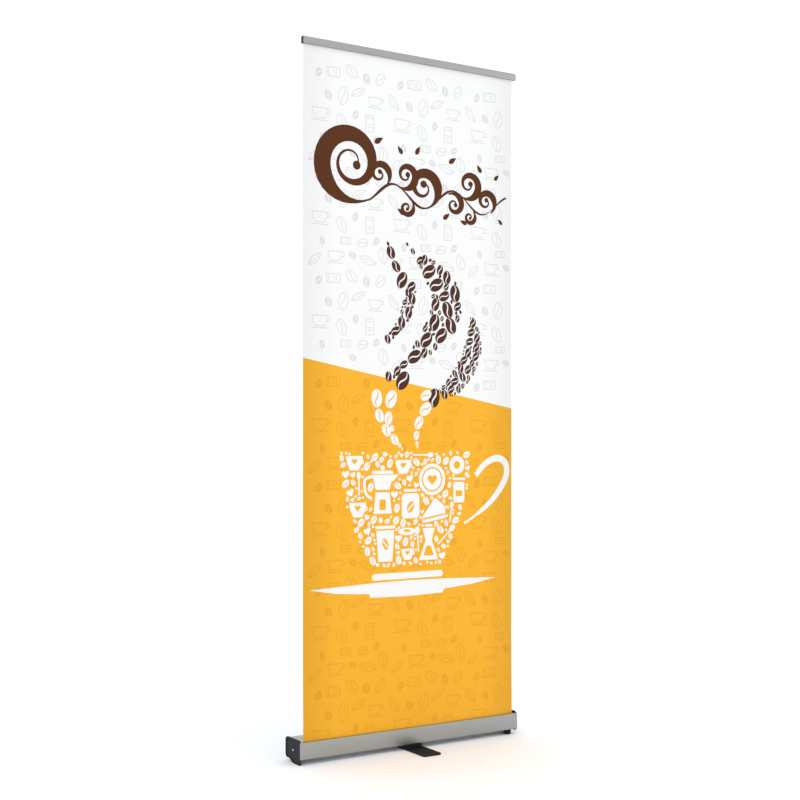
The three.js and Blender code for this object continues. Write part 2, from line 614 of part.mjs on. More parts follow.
/** The front jaw: the rail's face, with a round bead on top to hinge on and a gripping foot. */
function frontJaw() {
  const front = -RAIL_HALF_DEPTH;
  const skin = alongX(outline(box(front, 0, front + RAIL_SKIN, barrelZ, 0.5)), -halfRail, halfRail, 2);
  const heel = alongX(outline(box(front + RAIL_SKIN / 2, 0, -halfGrip, RAIL_SKIN)), -jawEnd, jawEnd);
  const barrel = roundX(RAIL_BARREL_R, -jawEnd, jawEnd, barrelY, barrelZ);
  const bores = [-1, 1].map((side) => {
    const from = side * (jawEnd - JAW_PIN_LENGTH);
    const to = side * (jawEnd + past);
    return roundX(JAW_BORE, Math.min(from, to), Math.max(from, to), barrelY, barrelZ, 0, 12);
  });
  return shaped([skin, heel, barrel], bores);
}

/** A rail end cap: an inset plate behind the front skin, with the pin that the front jaw turns on. */
function railCap(side) {
  const plate = outline([
    [-RAIL_HALF_DEPTH + RAIL_SKIN + GAP, 0, 1], [RAIL_HALF_DEPTH, 0, 1.5],
    [RAIL_HALF_DEPTH, RAIL_HEIGHT, 2], [-RAIL_HALF_DEPTH + RAIL_SKIN + GAP, RAIL_HEIGHT, 2],
  ]);
  const inner = jawEnd + GAP;
  const span = [side * inner, side * halfRail].sort((a, b) => a - b);
  const pin = [side * (jawEnd - JAW_PIN_LENGTH + 2), side * (inner + 1)].sort((a, b) => a - b);
  return shaped([alongX(plate, ...span), roundX(JAW_BORE - GAP, ...pin, barrelY, barrelZ, 0, 12)]);
}

/** The socket block behind the rail's middle, which drops over the pole head's pin. */
function railHanger() {
  const centre = RAIL_HALF_DEPTH + GAP + HANGER_DEPTH / 2;
  const bottom = ARM_TOP + GAP - RAIL_BOTTOM;
  const block = upright(outline(box(-HANGER_WIDTH / 2, centre - HANGER_DEPTH / 2, HANGER_WIDTH / 2,
    centre + HANGER_DEPTH / 2, 2)), bottom, bottom + HANGER_HEIGHT);
  const bore = round(PIN_R + GAP, bottom - past, bottom + HANGER_HEIGHT + past, 0, 16).translate(0, centre, 0);
  return shaped([block], [bore]);
}

piece(rail, 'rail_rear_jaw', rearJaw(), ALUMINIUM);
piece(rail, 'rail_front_jaw', frontJaw(), ALUMINIUM);
piece(rail, 'rail_cap_left', railCap(-1), BLACK_PLASTIC);
piece(rail, 'rail_cap_right', railCap(1), BLACK_PLASTIC);
piece(rail, 'rail_hanger', railHanger(), BLACK_PLASTIC).position.x = -RAIL_SHIFT;
piece(rail, 'grip_strip', alongX(outline(box(halfGrip, 2, halfGrip + GRIP_THICK, 2 + GRIP_HEIGHT)),
  -jawEnd, jawEnd), RUBBER);

// ---------------------------------------------------------------- film

const film = groupAt(0, FILM_Y, 0);
piece(film, 'banner_film', alongX(outline(box(-FILM_THICK / 2, ROLLER_Z, FILM_THICK / 2,
  RAIL_BOTTOM + FILM_IN_RAIL)), -halfFilm, halfFilm), FILM);

export default stand;
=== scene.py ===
"""Roll-up banner stand: an aluminium floor cassette, a telescopic pole, a clamp rail and a printed film.

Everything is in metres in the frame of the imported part: +X runs along the cassette, the printed face
looks towards -Y, and the origin is on the floor at the swivel foot's pivot. The sizes of a piece are
fields of the class that builds it, in millimetres, and MM turns them to metres.
"""

import logging
import math
import random
from collections.abc import Callable, Iterator, Sequence
from contextlib import contextmanager
from dataclasses import dataclass, field
from enum import Enum
from typing import Any

import bmesh
import bpy
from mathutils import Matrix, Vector
from mathutils.geometry import delaunay_2d_cdt

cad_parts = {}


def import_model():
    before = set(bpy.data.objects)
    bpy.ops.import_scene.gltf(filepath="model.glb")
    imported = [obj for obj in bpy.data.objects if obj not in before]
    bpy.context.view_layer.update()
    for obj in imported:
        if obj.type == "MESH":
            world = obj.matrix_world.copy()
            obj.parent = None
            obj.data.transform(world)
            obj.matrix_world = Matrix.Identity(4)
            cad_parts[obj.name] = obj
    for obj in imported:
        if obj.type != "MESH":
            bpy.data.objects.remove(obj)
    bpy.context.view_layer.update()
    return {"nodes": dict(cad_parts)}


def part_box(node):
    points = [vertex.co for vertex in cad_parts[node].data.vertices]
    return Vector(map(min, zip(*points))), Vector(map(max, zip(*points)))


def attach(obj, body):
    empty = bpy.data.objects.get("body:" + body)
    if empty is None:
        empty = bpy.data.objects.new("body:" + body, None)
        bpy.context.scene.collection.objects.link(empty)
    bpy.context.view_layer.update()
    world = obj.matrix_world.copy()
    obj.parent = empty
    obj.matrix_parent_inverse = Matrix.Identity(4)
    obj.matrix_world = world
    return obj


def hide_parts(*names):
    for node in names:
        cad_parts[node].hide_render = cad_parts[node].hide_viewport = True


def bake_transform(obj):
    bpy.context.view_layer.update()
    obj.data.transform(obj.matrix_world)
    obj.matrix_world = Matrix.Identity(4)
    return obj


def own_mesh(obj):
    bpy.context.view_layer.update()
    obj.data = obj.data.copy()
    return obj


log = logging.getLogger("banner_stand")

MM = 0.001
CLEARANCE = 0.3                      # gap, in millimetres, round whatever fits into something else
PIN_Y = -25.7                        # the pole's pin, over which the rail's hanger drops
POLE_Y = 22
Point = tuple[float, float]
Place = tuple[float, float, float]
Outline = list[Point]
Test = Callable[[Vector, Vector], bool]


# ---------------------------------------------------------------- finishes

def linear(hex_colour: str) -> tuple[float, float, float, float]:
    """Turns an sRGB hex colour into the linear colour that a shader takes.

    Args:
        hex_colour: Six hex digits after a hash sign.

    Returns:
        Linear red, green, blue and an alpha of 1.
    """
    def channel(pair: str) -> float:
        """Undoes the sRGB curve for one channel."""
        value = int(pair, 16) / 255
        return value / 12.92 if value <= 0.04045 else ((value + 0.055) / 1.055) ** 2.4

    digits = hex_colour.lstrip("#")
    return (channel(digits[0:2]), channel(digits[2:4]), channel(digits[4:6]), 1.0)


def add_node(tree: bpy.types.NodeTree, kind: str, inputs: dict[str | int, Any],
             **settings: Any) -> bpy.types.Node:
    """Adds one node, sets it up and links it.

    Args:
        tree: The node tree that gets the node.
        kind: The node's type.
        inputs: Socket names or numbers, each with a plain value or the output that feeds it.
        settings: The node's own properties.

    Returns:
        The new node.
    """
    node = tree.nodes.new(kind)
    for name, value in settings.items():
        setattr(node, name, value)
    for name, value in inputs.items():
        if isinstance(value, bpy.types.NodeSocket):
            tree.links.new(value, node.inputs[name])
        else:
            node.inputs[name].default_value = value
    return node


@dataclass(frozen=True)
class Finish:
    """A surface as it was made: its colour, how it takes light and the grain that shows on it.

    The grain is a noise on Object coordinates. Its size is real, in millimetres, and a stretch
    above 1 along an axis draws it out into lines along that axis. A sheet can also get painted
    shade towards its side edges.
    """

    name: str
    colour: str
    slot: str                        # the part's material slot, or nothing for the studio
    roughness: float
    metallic: float = 0.0
    specular: float = 0.5
    grain_mm: float = 0.8            # distance between one grain and the next
    grain_height_mm: float = 0.02
    stretch: Place = (1.0, 1.0, 1.0)
    mottle_mm: float = 60.0          # width of the soft patches of tone
    mottle: float = 0.06             # how much darker the patches are
    rough_spread: float = 0.08
    sheen: float = 0.0
    painted_shade_mm: float = 0.0             # width of the painted shade along a sheet's side edges
    painted_edge_shade: float = 0.0          # how much darker the painted shade gets at the very edge
    half_width_mm: float = 400.0

    def build(self) -> bpy.types.Material:
        """Makes the material, or returns the one that was made before.

        Returns:
            The node material, named for the finish.
        """
        ready = bpy.data.materials.get(self.name)
        if ready:
            return ready
        material = bpy.data.materials.new(self.name)
        material.use_nodes = True
        tree = material.node_tree
        tree.nodes.clear()
        place = add_node(tree, "ShaderNodeTexCoord", {}).outputs["Object"]
        grain = self._grain(tree, place)
        patches = add_node(tree, "ShaderNodeTexNoise", {
            "Vector": place, "Scale": 1 / (self.mottle_mm * MM), "Detail": 3.0, "Roughness": 0.55})
        tone = linear(self.colour)
        shade = tuple(c * (1 - self.mottle) for c in tone[:3]) + (1.0,)
        # a mix node has a set of sockets for each kind of data, so its colours go in by number
        colour = add_node(tree, "ShaderNodeMix", {0: patches.outputs["Fac"], 6: tone, 7: shade},
                          data_type="RGBA").outputs[2]
        # painted shade along the side edges, put into the colour itself
        if self.painted_shade_mm:
            colour = self._paint_edge_shade(tree, place, colour)
        rough = add_node(tree, "ShaderNodeMapRange", {
            "Value": grain, "From Min": 0.25, "From Max": 0.75,
            "To Min": max(0.02, self.roughness - self.rough_spread),
            "To Max": min(1.0, self.roughness + self.rough_spread)})
        bump = add_node(tree, "ShaderNodeBump", {
            "Height": grain, "Strength": 0.6, "Distance": self.grain_height_mm * MM})
        shader = add_node(tree, "ShaderNodeBsdfPrincipled", {
            "Base Color": colour, "Metallic": self.metallic,
            "Roughness": rough.outputs["Result"], "Specular IOR Level": self.specular,
            "Sheen Weight": self.sheen, "Normal": bump.outputs["Normal"]})
        add_node(tree, "ShaderNodeOutputMaterial", {"Surface": shader.outputs["BSDF"]})
        return material

    def _paint_edge_shade(self, tree: bpy.types.NodeTree, place: bpy.types.NodeSocket,
                colour: bpy.types.NodeSocket) -> bpy.types.NodeSocket:
        """Darkens the colour towards a sheet's side edges: painted shade for the edges that curl back.

        Args:
            tree: The material's node tree.
            place: The Object coordinates.
            colour: The colour so far.

        Returns:
            The colour with its painted edge shade.
        """
        across = add_node(tree, "ShaderNodeSeparateXYZ", {"Vector": place}).outputs["X"]
        out = add_node(tree, "ShaderNodeMath", {0: across}, operation="ABSOLUTE").outputs["Value"]
        near = add_node(tree, "ShaderNodeMapRange", {
            "Value": out, "From Min": (self.half_width_mm - self.painted_shade_mm) * MM,
            "From Max": self.half_width_mm * MM, "To Min": 1.0, "To Max": 1 - self.painted_edge_shade})
        return add_node(tree, "ShaderNodeVectorMath", {0: colour, "Scale": near.outputs["Result"]},
                        operation="SCALE").outputs["Vector"]

    def _grain(self, tree: bpy.types.NodeTree, place: bpy.types.NodeSocket) -> bpy.types.NodeSocket:
        """Draws the grain.

        Args:
            tree: The material's node tree.
            place: The Object coordinates.

        Returns:
            The grain's height, from 0 to 1.
        """
        squeezed = add_node(tree, "ShaderNodeMapping", {
            "Vector": place, "Scale": tuple(1 / s for s in self.stretch)})
        return add_node(tree, "ShaderNodeTexNoise", {
            "Vector": squeezed.outputs["Vector"], "Scale": 1 / (self.grain_mm * MM),
            "Detail": 2.0, "Roughness": 0.5}).outputs["Fac"]


class Finishes:
    """Every finish on the stand, each named for the material and how its surface was made."""

    # satin anodising over an extrusion: a soft broad highlight with faint die lines along X.
    # The lines are 3 mm apart, coarser than the real ones, so that they show at all
    EXTRUSION = Finish("anodised_aluminium_extruded", "#A6A7A5", "aluminium", 0.40, metallic=1.0,
                       grain_mm=3.0, grain_height_mm=0.01, stretch=(160.0, 1.0, 1.0),
                       mottle_mm=120, mottle=0.07, rough_spread=0.07)
    # the same anodising on the drawn pole tubes, whose draw lines run up the tube
    DRAWN_TUBE = Finish("anodised_aluminium_drawn", "#B4B5B4", "aluminium", 0.32, metallic=1.0,
                        grain_mm=1.6, grain_height_mm=0.008, stretch=(1.0, 1.0, 120.0),
                        mottle_mm=90, mottle=0.06, rough_spread=0.06)
    # zinc-plated steel: bright, a little cloudy
    ZINC_STEEL = Finish("zinc_plated_steel", "#C3C5C8", "steel", 0.26, metallic=1.0, grain_mm=0.9,
                        grain_height_mm=0.006, mottle_mm=6, mottle=0.12, rough_spread=0.08)
    # glass-filled nylon from a spark-eroded mould: near black, a fine matt grain, no clear highlight
    MOULDED_BLACK = Finish("moulded_nylon_black", "#121213", "black_plastic", 0.55, specular=0.22,
                           grain_mm=0.7, grain_height_mm=0.05, mottle_mm=35, mottle=0.15,
                           rough_spread=0.08)
    # the same nylon on the end cap's sunk face, where a coarser texture makes it look greyer
    TEXTURED_BLACK = Finish("textured_nylon_charcoal", "#272729", "black_plastic", 0.68,
                            specular=0.22, grain_mm=1.1, grain_height_mm=0.09, mottle_mm=25,
                            mottle=0.12, rough_spread=0.06)
    # acetal bushes and plugs: mid grey, waxy
    ACETAL_GREY = Finish("moulded_acetal_grey", "#6D6E70", "grey_plastic", 0.42, grain_mm=0.6,
                         grain_height_mm=0.02, mottle_mm=20, mottle=0.08)
    # rubber feet and grip strip: black, dull, with a dusty bloom
    RUBBER = Finish("moulded_rubber_black", "#121211", "rubber", 0.80, specular=0.2, grain_mm=0.9,
                    grain_height_mm=0.05, mottle_mm=18, mottle=0.2, sheen=0.08)
    # the plain unprinted leader that stays on the roller
    LEADER = Finish("leader_film_grey", "#B9BAB8", "leader_film", 0.38, grain_mm=1.5,
                    grain_height_mm=0.01, mottle_mm=80, mottle=0.05)
    # the printed film's own back, coated grey so that light doesn't come through
    FILM_BACK = Finish("film_back_grey", "#A9ABAC", "printed_film", 0.50, grain_mm=1.2,
                       grain_height_mm=0.015, mottle_mm=150, mottle=0.05)


class Ink(Enum):
    """The inks and the bare coating on the film's printed face."""

    WHITE = "#EBEBEA"
    ORANGE = "#EDAC2A"
    GREY_MOTIF = "#D6D6D5"
    AMBER_MOTIF = "#E19E23"
    BROWN = "#532A0C"
    ROAST = "#4A281C"

    @property
    def finish(self) -> Finish:
        """The matt, faintly pebbled print in this ink, with painted shade towards the film's edges."""
        # the orange inks get a deeper painted shade at the edges
        painted_edge_shade = 0.17 if self in (Ink.ORANGE, Ink.AMBER_MOTIF) else 0.10
        return Finish(f"printed_film_{self.name.lower()}", self.value, "printed_film", 0.60,
                      specular=0.18, grain_mm=1.4, grain_height_mm=0.012, mottle_mm=180,
                      mottle=0.02, rough_spread=0.05, painted_shade_mm=120, painted_edge_shade=painted_edge_shade)


# ---------------------------------------------------------------- the print, in millimetres on the film

def shares(steps: int) -> list[float]:
    """Even shares of a length, from 0 to 1."""
    return [i / steps for i in range(steps + 1)]


class Pen:
    """Draws lines and closed outlines in millimetres, most of them about the origin."""

    @staticmethod
    def placed(shape: Outline, centre: Point, turn: float = 0.0, size: float = 1.0) -> Outline:
        """Scales, turns and moves an outline.

        Args:
            shape: The outline about its own centre.
            centre: Where its centre goes.
            turn: Degrees, counter-clockwise.
            size: How much larger it gets.

        Returns:
            The placed outline.
        """
        c, s = math.cos(math.radians(turn)) * size, math.sin(math.radians(turn)) * size
        return [(centre[0] + x * c - y * s, centre[1] + x * s + y * c) for x, y in shape]

    @staticmethod
    def oval(half_w: float, half_h: float, steps: int = 20) -> Outline:
        """An ellipse about the origin."""
        return [(half_w * math.cos(2 * math.pi * i / steps),
                 half_h * math.sin(2 * math.pi * i / steps)) for i in range(steps)]

    @staticmethod
    def slab(half_w: float, half_h: float, corner: float = 0.0, steps: int = 3) -> Outline:
        """A rectangle about the origin, with rounded corners if a corner radius is given."""
        if corner <= 0:
            return [(-half_w, -half_h), (half_w, -half_h), (half_w, half_h), (-half_w, half_h)]
        points = []
        for quarter, (sx, sy) in enumerate([(1, 1), (-1, 1), (-1, -1), (1, -1)]):
            for i in range(steps + 1):
                a = math.pi / 2 * (quarter + i / steps)
                points.append((sx * (half_w - corner) + corner * math.cos(a),
                               sy * (half_h - corner) + corner * math.sin(a)))
        return points

    @staticmethod
    def mirrored(side: Outline) -> Outline:
        """A closed outline from its right side, whose points on the centre line aren't repeated."""
        return side + [(-x, y) for x, y in side[::-1] if x > 1e-6]

    @staticmethod
    def cup(half_w: float, half_h: float, base: float) -> Outline:
        """A cup's bowl about the origin; base is its lower width as a share of its upper one."""
        return Pen.mirrored([(half_w * (base + (1 - base) * math.sin(math.pi / 2 * t)),
                              half_h * (2 * t - 1)) for t in shares(5)])

    @staticmethod
    def heart(half_w: float) -> Outline:
        """A heart about the origin."""
        points = []
        for i in range(22):
            a = 2 * math.pi * i / 22
            points.append((-half_w * math.sin(a) ** 3, half_w / 16 * (
                13 * math.cos(a) - 5 * math.cos(2 * a) - 2 * math.cos(3 * a) - math.cos(4 * a))))
        return points

    @staticmethod
    def smooth(points: Sequence[Point], steps: int = 6) -> Outline:
        """A smooth open line through the points."""
        line: Outline = []
        for i in range(len(points) - 1):
            a, b = points[max(i - 1, 0)], points[i]
            c, d = points[i + 1], points[min(i + 2, len(points) - 1)]
            for k in range(steps):
                t = k / steps
                line.append(tuple(0.5 * (2 * b[n] + (c[n] - a[n]) * t
                                         + (2 * a[n] - 5 * b[n] + 4 * c[n] - d[n]) * t * t
                                         + (3 * b[n] - a[n] - 3 * c[n] + d[n]) * t ** 3)
                                  for n in (0, 1)))
        line.append(tuple(points[-1]))
        return line

    @staticmethod
    def stroke(line: Sequence[Point], width: Callable[[float], float]) -> Outline:
        """The outline of a brush stroke.

        Args:
            line: The stroke's centre line.
            width: The stroke's full width at a share of its length, from 0 to 1.

        Returns:
            The stroke's two sides, joined at both ends.
        """
        lengths = [0.0]
        for a, b in zip(line, line[1:]):
            lengths.append(lengths[-1] + math.dist(a, b))
        left, right = [], []
        for i, (x, y) in enumerate(line):
            a, b = line[max(i - 1, 0)], line[min(i + 1, len(line) - 1)]
            along = math.dist(a, b) or 1.0
            nx, ny = -(b[1] - a[1]) / along, (b[0] - a[0]) / along
            half = width(lengths[i] / lengths[-1]) / 2
            left.append((x + nx * half, y + ny * half))
            right.append((x - nx * half, y - ny * half))
        return right + left[::-1]

    @staticmethod
    def spiral(centre: Point, outer: float, inner: float, start: float, turns: float,
               steps: int = 60) -> Outline:
        """A spiral's centre line; positive turns run counter-clockwise.

        Args:
            centre: The spiral's eye.
            outer: Radius where it starts.
            inner: Radius where it ends.
            start: Degrees at which it starts.
            turns: Whole turns, signed.
            steps: Points along it.

        Returns:
            The centre line from the outside in.
        """
        line = []
        for i in range(steps + 1):
            t = i / steps
            r = outer + (inner - outer) * t ** 0.85
            a = math.radians(start) + 2 * math.pi * turns * t
            line.append((centre[0] + r * math.cos(a), centre[1] + r * math.sin(a)))
        return line


@dataclass(frozen=True)
class Patch:
    """One closed area of a single ink. A later patch covers an earlier one."""

    ink: Ink
    outline: Outline


@dataclass
class Artwork:
    """The printed picture: a letterless scroll, steam of beans, and a cup that icons fill.

    It is a design of its own. u runs from the film's left edge and v up from the cassette.
    """

    width: float = 800
    height: float = 2150
    bleed: float = 40                 # how far the orange runs on below the slot
    slope_left: float = 1183          # where white meets orange at the left edge
    slope_right: float = 1035
    tile_w: float = 300               # the faint pattern's repeat
    tile_h: float = 322
    line: float = 3.2                 # width of the faint pattern's outlines
    bowl_u: float = 378               # the cup's centre line
    bowl_low: float = 520
    bowl_high: float = 892
    patches: list[Patch] = field(default_factory=list)

    def draw(self) -> list[Patch]:
        """Lays down every patch, from the bottom one up.

        Returns:
            The patches in the order they are printed.
        """
        self._ink(Ink.ORANGE, [(0, -self.bleed), (self.width, -self.bleed),
                               (self.width, self.slope_right), (0, self.slope_left)])
        self._pattern()
        self._scroll()
        self._steam()
        self._cup()
        return self.patches

    def ground(self, at: Point) -> Ink:
        """The ink of the plain field at a point."""
        edge = self.slope_left + (self.slope_right - self.slope_left) * at[0] / self.width
        return Ink.WHITE if at[1] > edge else Ink.ORANGE

    def _ink(self, ink: Ink, outline: Outline) -> None:
        """Adds one patch."""
        self.patches.append(Patch(ink, outline))

    # ---- motifs, each drawn about its own centre

    def _bean(self, ink: Ink, slit: Ink, centre: Point, length: float, turn: float,
              plump: float = 0.68) -> None:
        """A solid bean with an S-shaped slit; turn 0 stands it upright."""
        half, wide = length / 2, length / 2 * plump
        self._ink(ink, Pen.placed(Pen.oval(wide, half, 18 if length > 24 else 12), centre, turn))
        if length > 15:
            line = [(wide * 0.3 * math.sin(math.pi * 2 * t), half * (1 - 2 * t) * 0.94)
                    for t in shares(8)]
            thin = max(length * 0.064, 1.5)
            gap = Pen.stroke(line, lambda t: thin * (0.35 + math.sin(math.pi * t)))
            self._ink(slit, Pen.placed(gap, centre, turn))

    def _bean_line(self, ink: Ink, under: Ink, centre: Point, length: float, turn: float) -> None:
        """A bean drawn as an outline."""
        wide = length * 0.31
        self._ink(ink, Pen.placed(Pen.oval(wide, length / 2), centre, turn))
        self._ink(under, Pen.placed(Pen.oval(wide - self.line, length / 2 - self.line), centre, turn))
        line = [(wide * 0.25 * math.sin(math.pi * 2 * t), length * 0.38 * (1 - 2 * t))
                for t in shares(8)]
        self._ink(ink, Pen.placed(Pen.stroke(line, lambda t: self.line), centre, turn))

    def _leaf_line(self, ink: Ink, under: Ink, centre: Point, length: float, turn: float) -> None:
        """A leaf drawn as an outline with its midrib."""
        def blade(half: float, wide: float) -> Outline:
            """One leaf-shaped outline."""
            return Pen.mirrored([(wide * math.sin(math.pi * t) ** 0.8, half * (2 * t - 1))
                                 for t in shares(9)])

        self._ink(ink, Pen.placed(blade(length / 2, length * 0.2), centre, turn))
        self._ink(under, Pen.placed(blade(length / 2 - self.line * 1.6, length * 0.2 - self.line),
                                    centre, turn))
        rib = [(0, -length * 0.46), (length * 0.03, 0), (0, length * 0.3)]
        self._ink(ink, Pen.placed(Pen.stroke(rib, lambda t: self.line * 0.9), centre, turn))

    def _cup_line(self, ink: Ink, under: Ink, centre: Point, wide: float) -> None:
        """A cup drawn as an outline, with its ear and saucer."""
        w, h, line, base = wide / 2, wide * 0.3, self.line, 0.62
        ear = (centre[0] + w * 0.98, centre[1] + h * 0.35)
        self._ink(ink, Pen.placed(Pen.oval(w * 0.34, h * 0.5, 14), ear))
        self._ink(under, Pen.placed(Pen.oval(w * 0.34 - line, h * 0.5 - line, 14), ear))
        self._ink(ink, Pen.placed(Pen.cup(w, h, base), centre))
        self._ink(under, Pen.placed(Pen.cup(w - line, h - line, base), centre))
        saucer = Pen.slab(w * 1.1, line / 2, line / 2.2)
        self._ink(ink, Pen.placed(saucer, (centre[0], centre[1] - h - line * 1.7)))

    def _jar_line(self, ink: Ink, under: Ink, centre: Point, tall: float, turn: float) -> None:
        """A jar drawn as an outline, with its lid and label."""
        w, h, line = tall * 0.3, tall / 2, self.line
        self._ink(ink, Pen.placed(Pen.slab(w, h, w * 0.3), centre, turn))
        self._ink(under, Pen.placed(Pen.slab(w - line, h - line, w * 0.2), centre, turn))
        for y, half in ((0.62, 1.0), (-0.1, 0.55), (-0.42, 0.55)):
            bar = Pen.placed(Pen.slab(w * half, line * 0.45), (0, h * y))
            self._ink(ink, Pen.placed(bar, centre, turn))

    def _pattern(self) -> None:
        """Repeats the tile of faint motifs over both fields."""
        motifs: list[tuple[str, float, float, float, float]] = [
            ("cup", 58, 52, 58, 0), ("bean", 136, 34, 56, 24), ("solid", 186, 62, 30, -20),
            ("jar", 238, 40, 54, 0), ("leaf", 28, 120, 66, 38), ("solid", 88, 112, 34, 34),
            ("bean", 142, 116, 60, -8), ("leaf", 196, 134, 62, -62), ("cup", 258, 112, 50, 0),
            ("solid", 54, 178, 32, -30), ("jar", 106, 186, 52, 90), ("bean", 172, 196, 52, 52),
            ("solid", 226, 182, 36, 12), ("bean", 278, 186, 48, -34), ("leaf", 40, 242, 60, -48),
            ("cup", 112, 256, 54, 0), ("solid", 176, 262, 30, 60), ("leaf", 232, 250, 70, 72),
            ("bean", 288, 268, 54, 14), ("solid", 66, 300, 28, 8), ("jar", 150, 306, 40, 90),
            ("bean", 212, 304, 44, -70), ("solid", 262, 312, 30, -44),
        ]
        rows = math.ceil((self.height + self.bleed + self.tile_h) / self.tile_h)
        for row in range(rows):
            for column in range(math.ceil(self.width / self.tile_w)):
                for kind, u, v, size, turn in motifs:
                    centre = (u + column * self.tile_w, v + row * self.tile_h - self.bleed)
                    self._motif(kind, centre, size, turn)

    def _motif(self, kind: str, centre: Point, size: float, turn: float) -> None:
        """Draws one faint motif, unless it would cross the film's edge or the fields' meeting."""
        reach = size * 0.62
        u, v = centre
        if not (reach <= u <= self.width - reach and reach - self.bleed <= v <= self.height - reach):
            return
        under = self.ground((u, v + reach))
        if any(self.ground(at) is not under for at in ((u, v - reach), (u + reach, v + reach))):
            return
        ink = Ink.GREY_MOTIF if under is Ink.WHITE else Ink.AMBER_MOTIF
        if kind == "bean":
            self._bean_line(ink, under, centre, size, turn)
        elif kind == "solid":
            self._bean(ink, under, centre, size, turn)
        elif kind == "leaf":
            self._leaf_line(ink, under, centre, size, turn)
        elif kind == "cup":
            self._cup_line(ink, under, centre, size)
        else:
            self._jar_line(ink, under, centre, size, turn)

    def _sprout(self, at: Point, heading: float, radius: float, side: int, turns: float,
                thick: float, peak: float = 0.3, ball: float = 0.34) -> None:
        """A volute that leaves the vine along its own direction, swells, and curls up to a ball.

        Args:
            at: Where it leaves.
            heading: Degrees of the vine's direction there.
            radius: The volute's outer radius.
            side: 1 curls to the left of the heading, -1 to the right.
            turns: Whole turns to its eye.
            thick: Its greatest width.
            peak: Share of its length at which it is widest.
            ball: The ball's radius as a share of that width.
        """
        along = math.radians(heading)
        centre = (at[0] - side * radius * math.sin(along), at[1] + side * radius * math.cos(along))
        line = Pen.spiral(centre, radius, radius * 0.16, heading - 90 * side, turns * side)
        thin = 5.5

        def width(t: float) -> float:
            """Swells from a thin line to the full width at the peak and thins again."""
            if t < peak:
                swell = math.sin(math.pi / 2 * t / peak)
            else:
                swell = math.cos(math.pi / 2 * (t - peak) / (1 - peak))
            return thin + (thick - thin) * max(swell, 0) ** 2

        self._ink(Ink.BROWN, Pen.stroke(line, width))
        self._ink(Ink.BROWN, Pen.placed(Pen.oval(thick * ball, thick * ball, 16), line[-1]))

    def _scroll(self) -> None:
        """The letterless running scroll across the white field: a vine with volutes and leaves."""
        start, middle, height, span = 268, 1716, 34, 232
        vine = [(u, middle + height * math.sin((u - start) / span * 2 * math.pi))
                for u in range(236, 788, 12)]
        self._ink(Ink.BROWN, Pen.stroke(
            vine, lambda t: 6 + 5 * math.sin(math.pi * 4.6 * t) ** 2 - 4 * t))
        # the great volute at the left, and the ones that climb or hang from the vine
        self._sprout((240, 1693), 212, 130, -1, 1.9, 60, 0.26, 0.24)
        self._sprout((300, 1742), 36, 44, 1, 1.35, 24)
        self._sprout((346, 1744), -36, 48, 1, 1.4, 27)
        self._sprout((398, 1700), -44, 30, -1, 1.3, 18)
        self._sprout((458, 1684), 14, 68, 1, 1.45, 36)
        self._sprout((540, 1738), 34, 40, -1, 1.35, 22)
        self._sprout((592, 1734), -34, 52, 1, 1.4, 28)
        self._sprout((640, 1690), -36, 26, -1, 1.3, 16)
        self._sprout((712, 1690), 30, 42, 1, 1.35, 24)
        leaves = [(272, 1884, 38, -58), (352, 1862, 32, 34), (420, 1868, 34, -30), (556, 1850, 36, -56),
                  (664, 1834, 32, 36), (736, 1812, 28, -44), (356, 1664, 34, 58), (532, 1664, 34, -52),
                  (600, 1650, 30, 70), (750, 1664, 26, 48)]
        for u, v, length, turn in leaves:
            leaf = Pen.mirrored([(length * 0.24 * math.sin(math.pi * t ** 0.7), length * (t - 0.5))
                                 for t in shares(8)])
            self._ink(Ink.BROWN, Pen.placed(leaf, (u, v), turn))

    def _chain(self, ink: Ink, slit: Ink, path: Sequence[Point], sizes: Sequence[float],
               turns: Sequence[float]) -> None:
        """Beans end to end along a smooth path, each as long as its entry in sizes."""
        line = Pen.smooth(path, 10)
        spans = [0.0]
        for a, b in zip(line, line[1:]):
            spans.append(spans[-1] + math.dist(a, b))
        room = spans[-1] / sum(sizes)
        at = 0.0
        for size, turn in zip(sizes, turns):
            middle = (at + size / 2) * room
            i = next((k for k, s in enumerate(spans) if s >= middle), len(spans) - 1)
            self._bean(ink, slit, line[i], size * 1.04, turn)
            at += size

    def _cloud(self, path: Sequence[Point], half: Callable[[float], float], biggest: float,
               seed: int, tries: int = 900) -> None:
        """Packs brown beans of many sizes into a band round a path.

        Args:
            path: Points that the band's middle passes through.
            half: Half of the band's width at a share of its length.
            biggest: Length of the largest bean.
            seed: Fixes the arrangement.
            tries: How many places are tried for each size.
        """
        chance = random.Random(seed)
        line = Pen.smooth(path, 12)
        placed: list[tuple[float, float, float]] = []
        for share in (1.0, 0.78, 0.6, 0.45, 0.33, 0.24):
            length = biggest * share
            for _ in range(int(tries * (1.3 - share))):
                t = chance.random()
                i = min(int(t * (len(line) - 1)), len(line) - 2)
                a, b = line[i], line[i + 1]
                span = math.dist(a, b) or 1.0
                room = half(t) - length * 0.36
                if room < 0:
                    continue
                off = chance.uniform(-room, room)
                u = a[0] - (b[1] - a[1]) / span * off
                v = a[1] + (b[0] - a[0]) / span * off
                if all(math.dist((u, v), (p, q)) > (length + size) * 0.425 for p, q, size in placed):
                    placed.append((u, v, length))
                    self._bean(Ink.ROAST, Ink.WHITE, (u, v), length, chance.uniform(-60, 30))

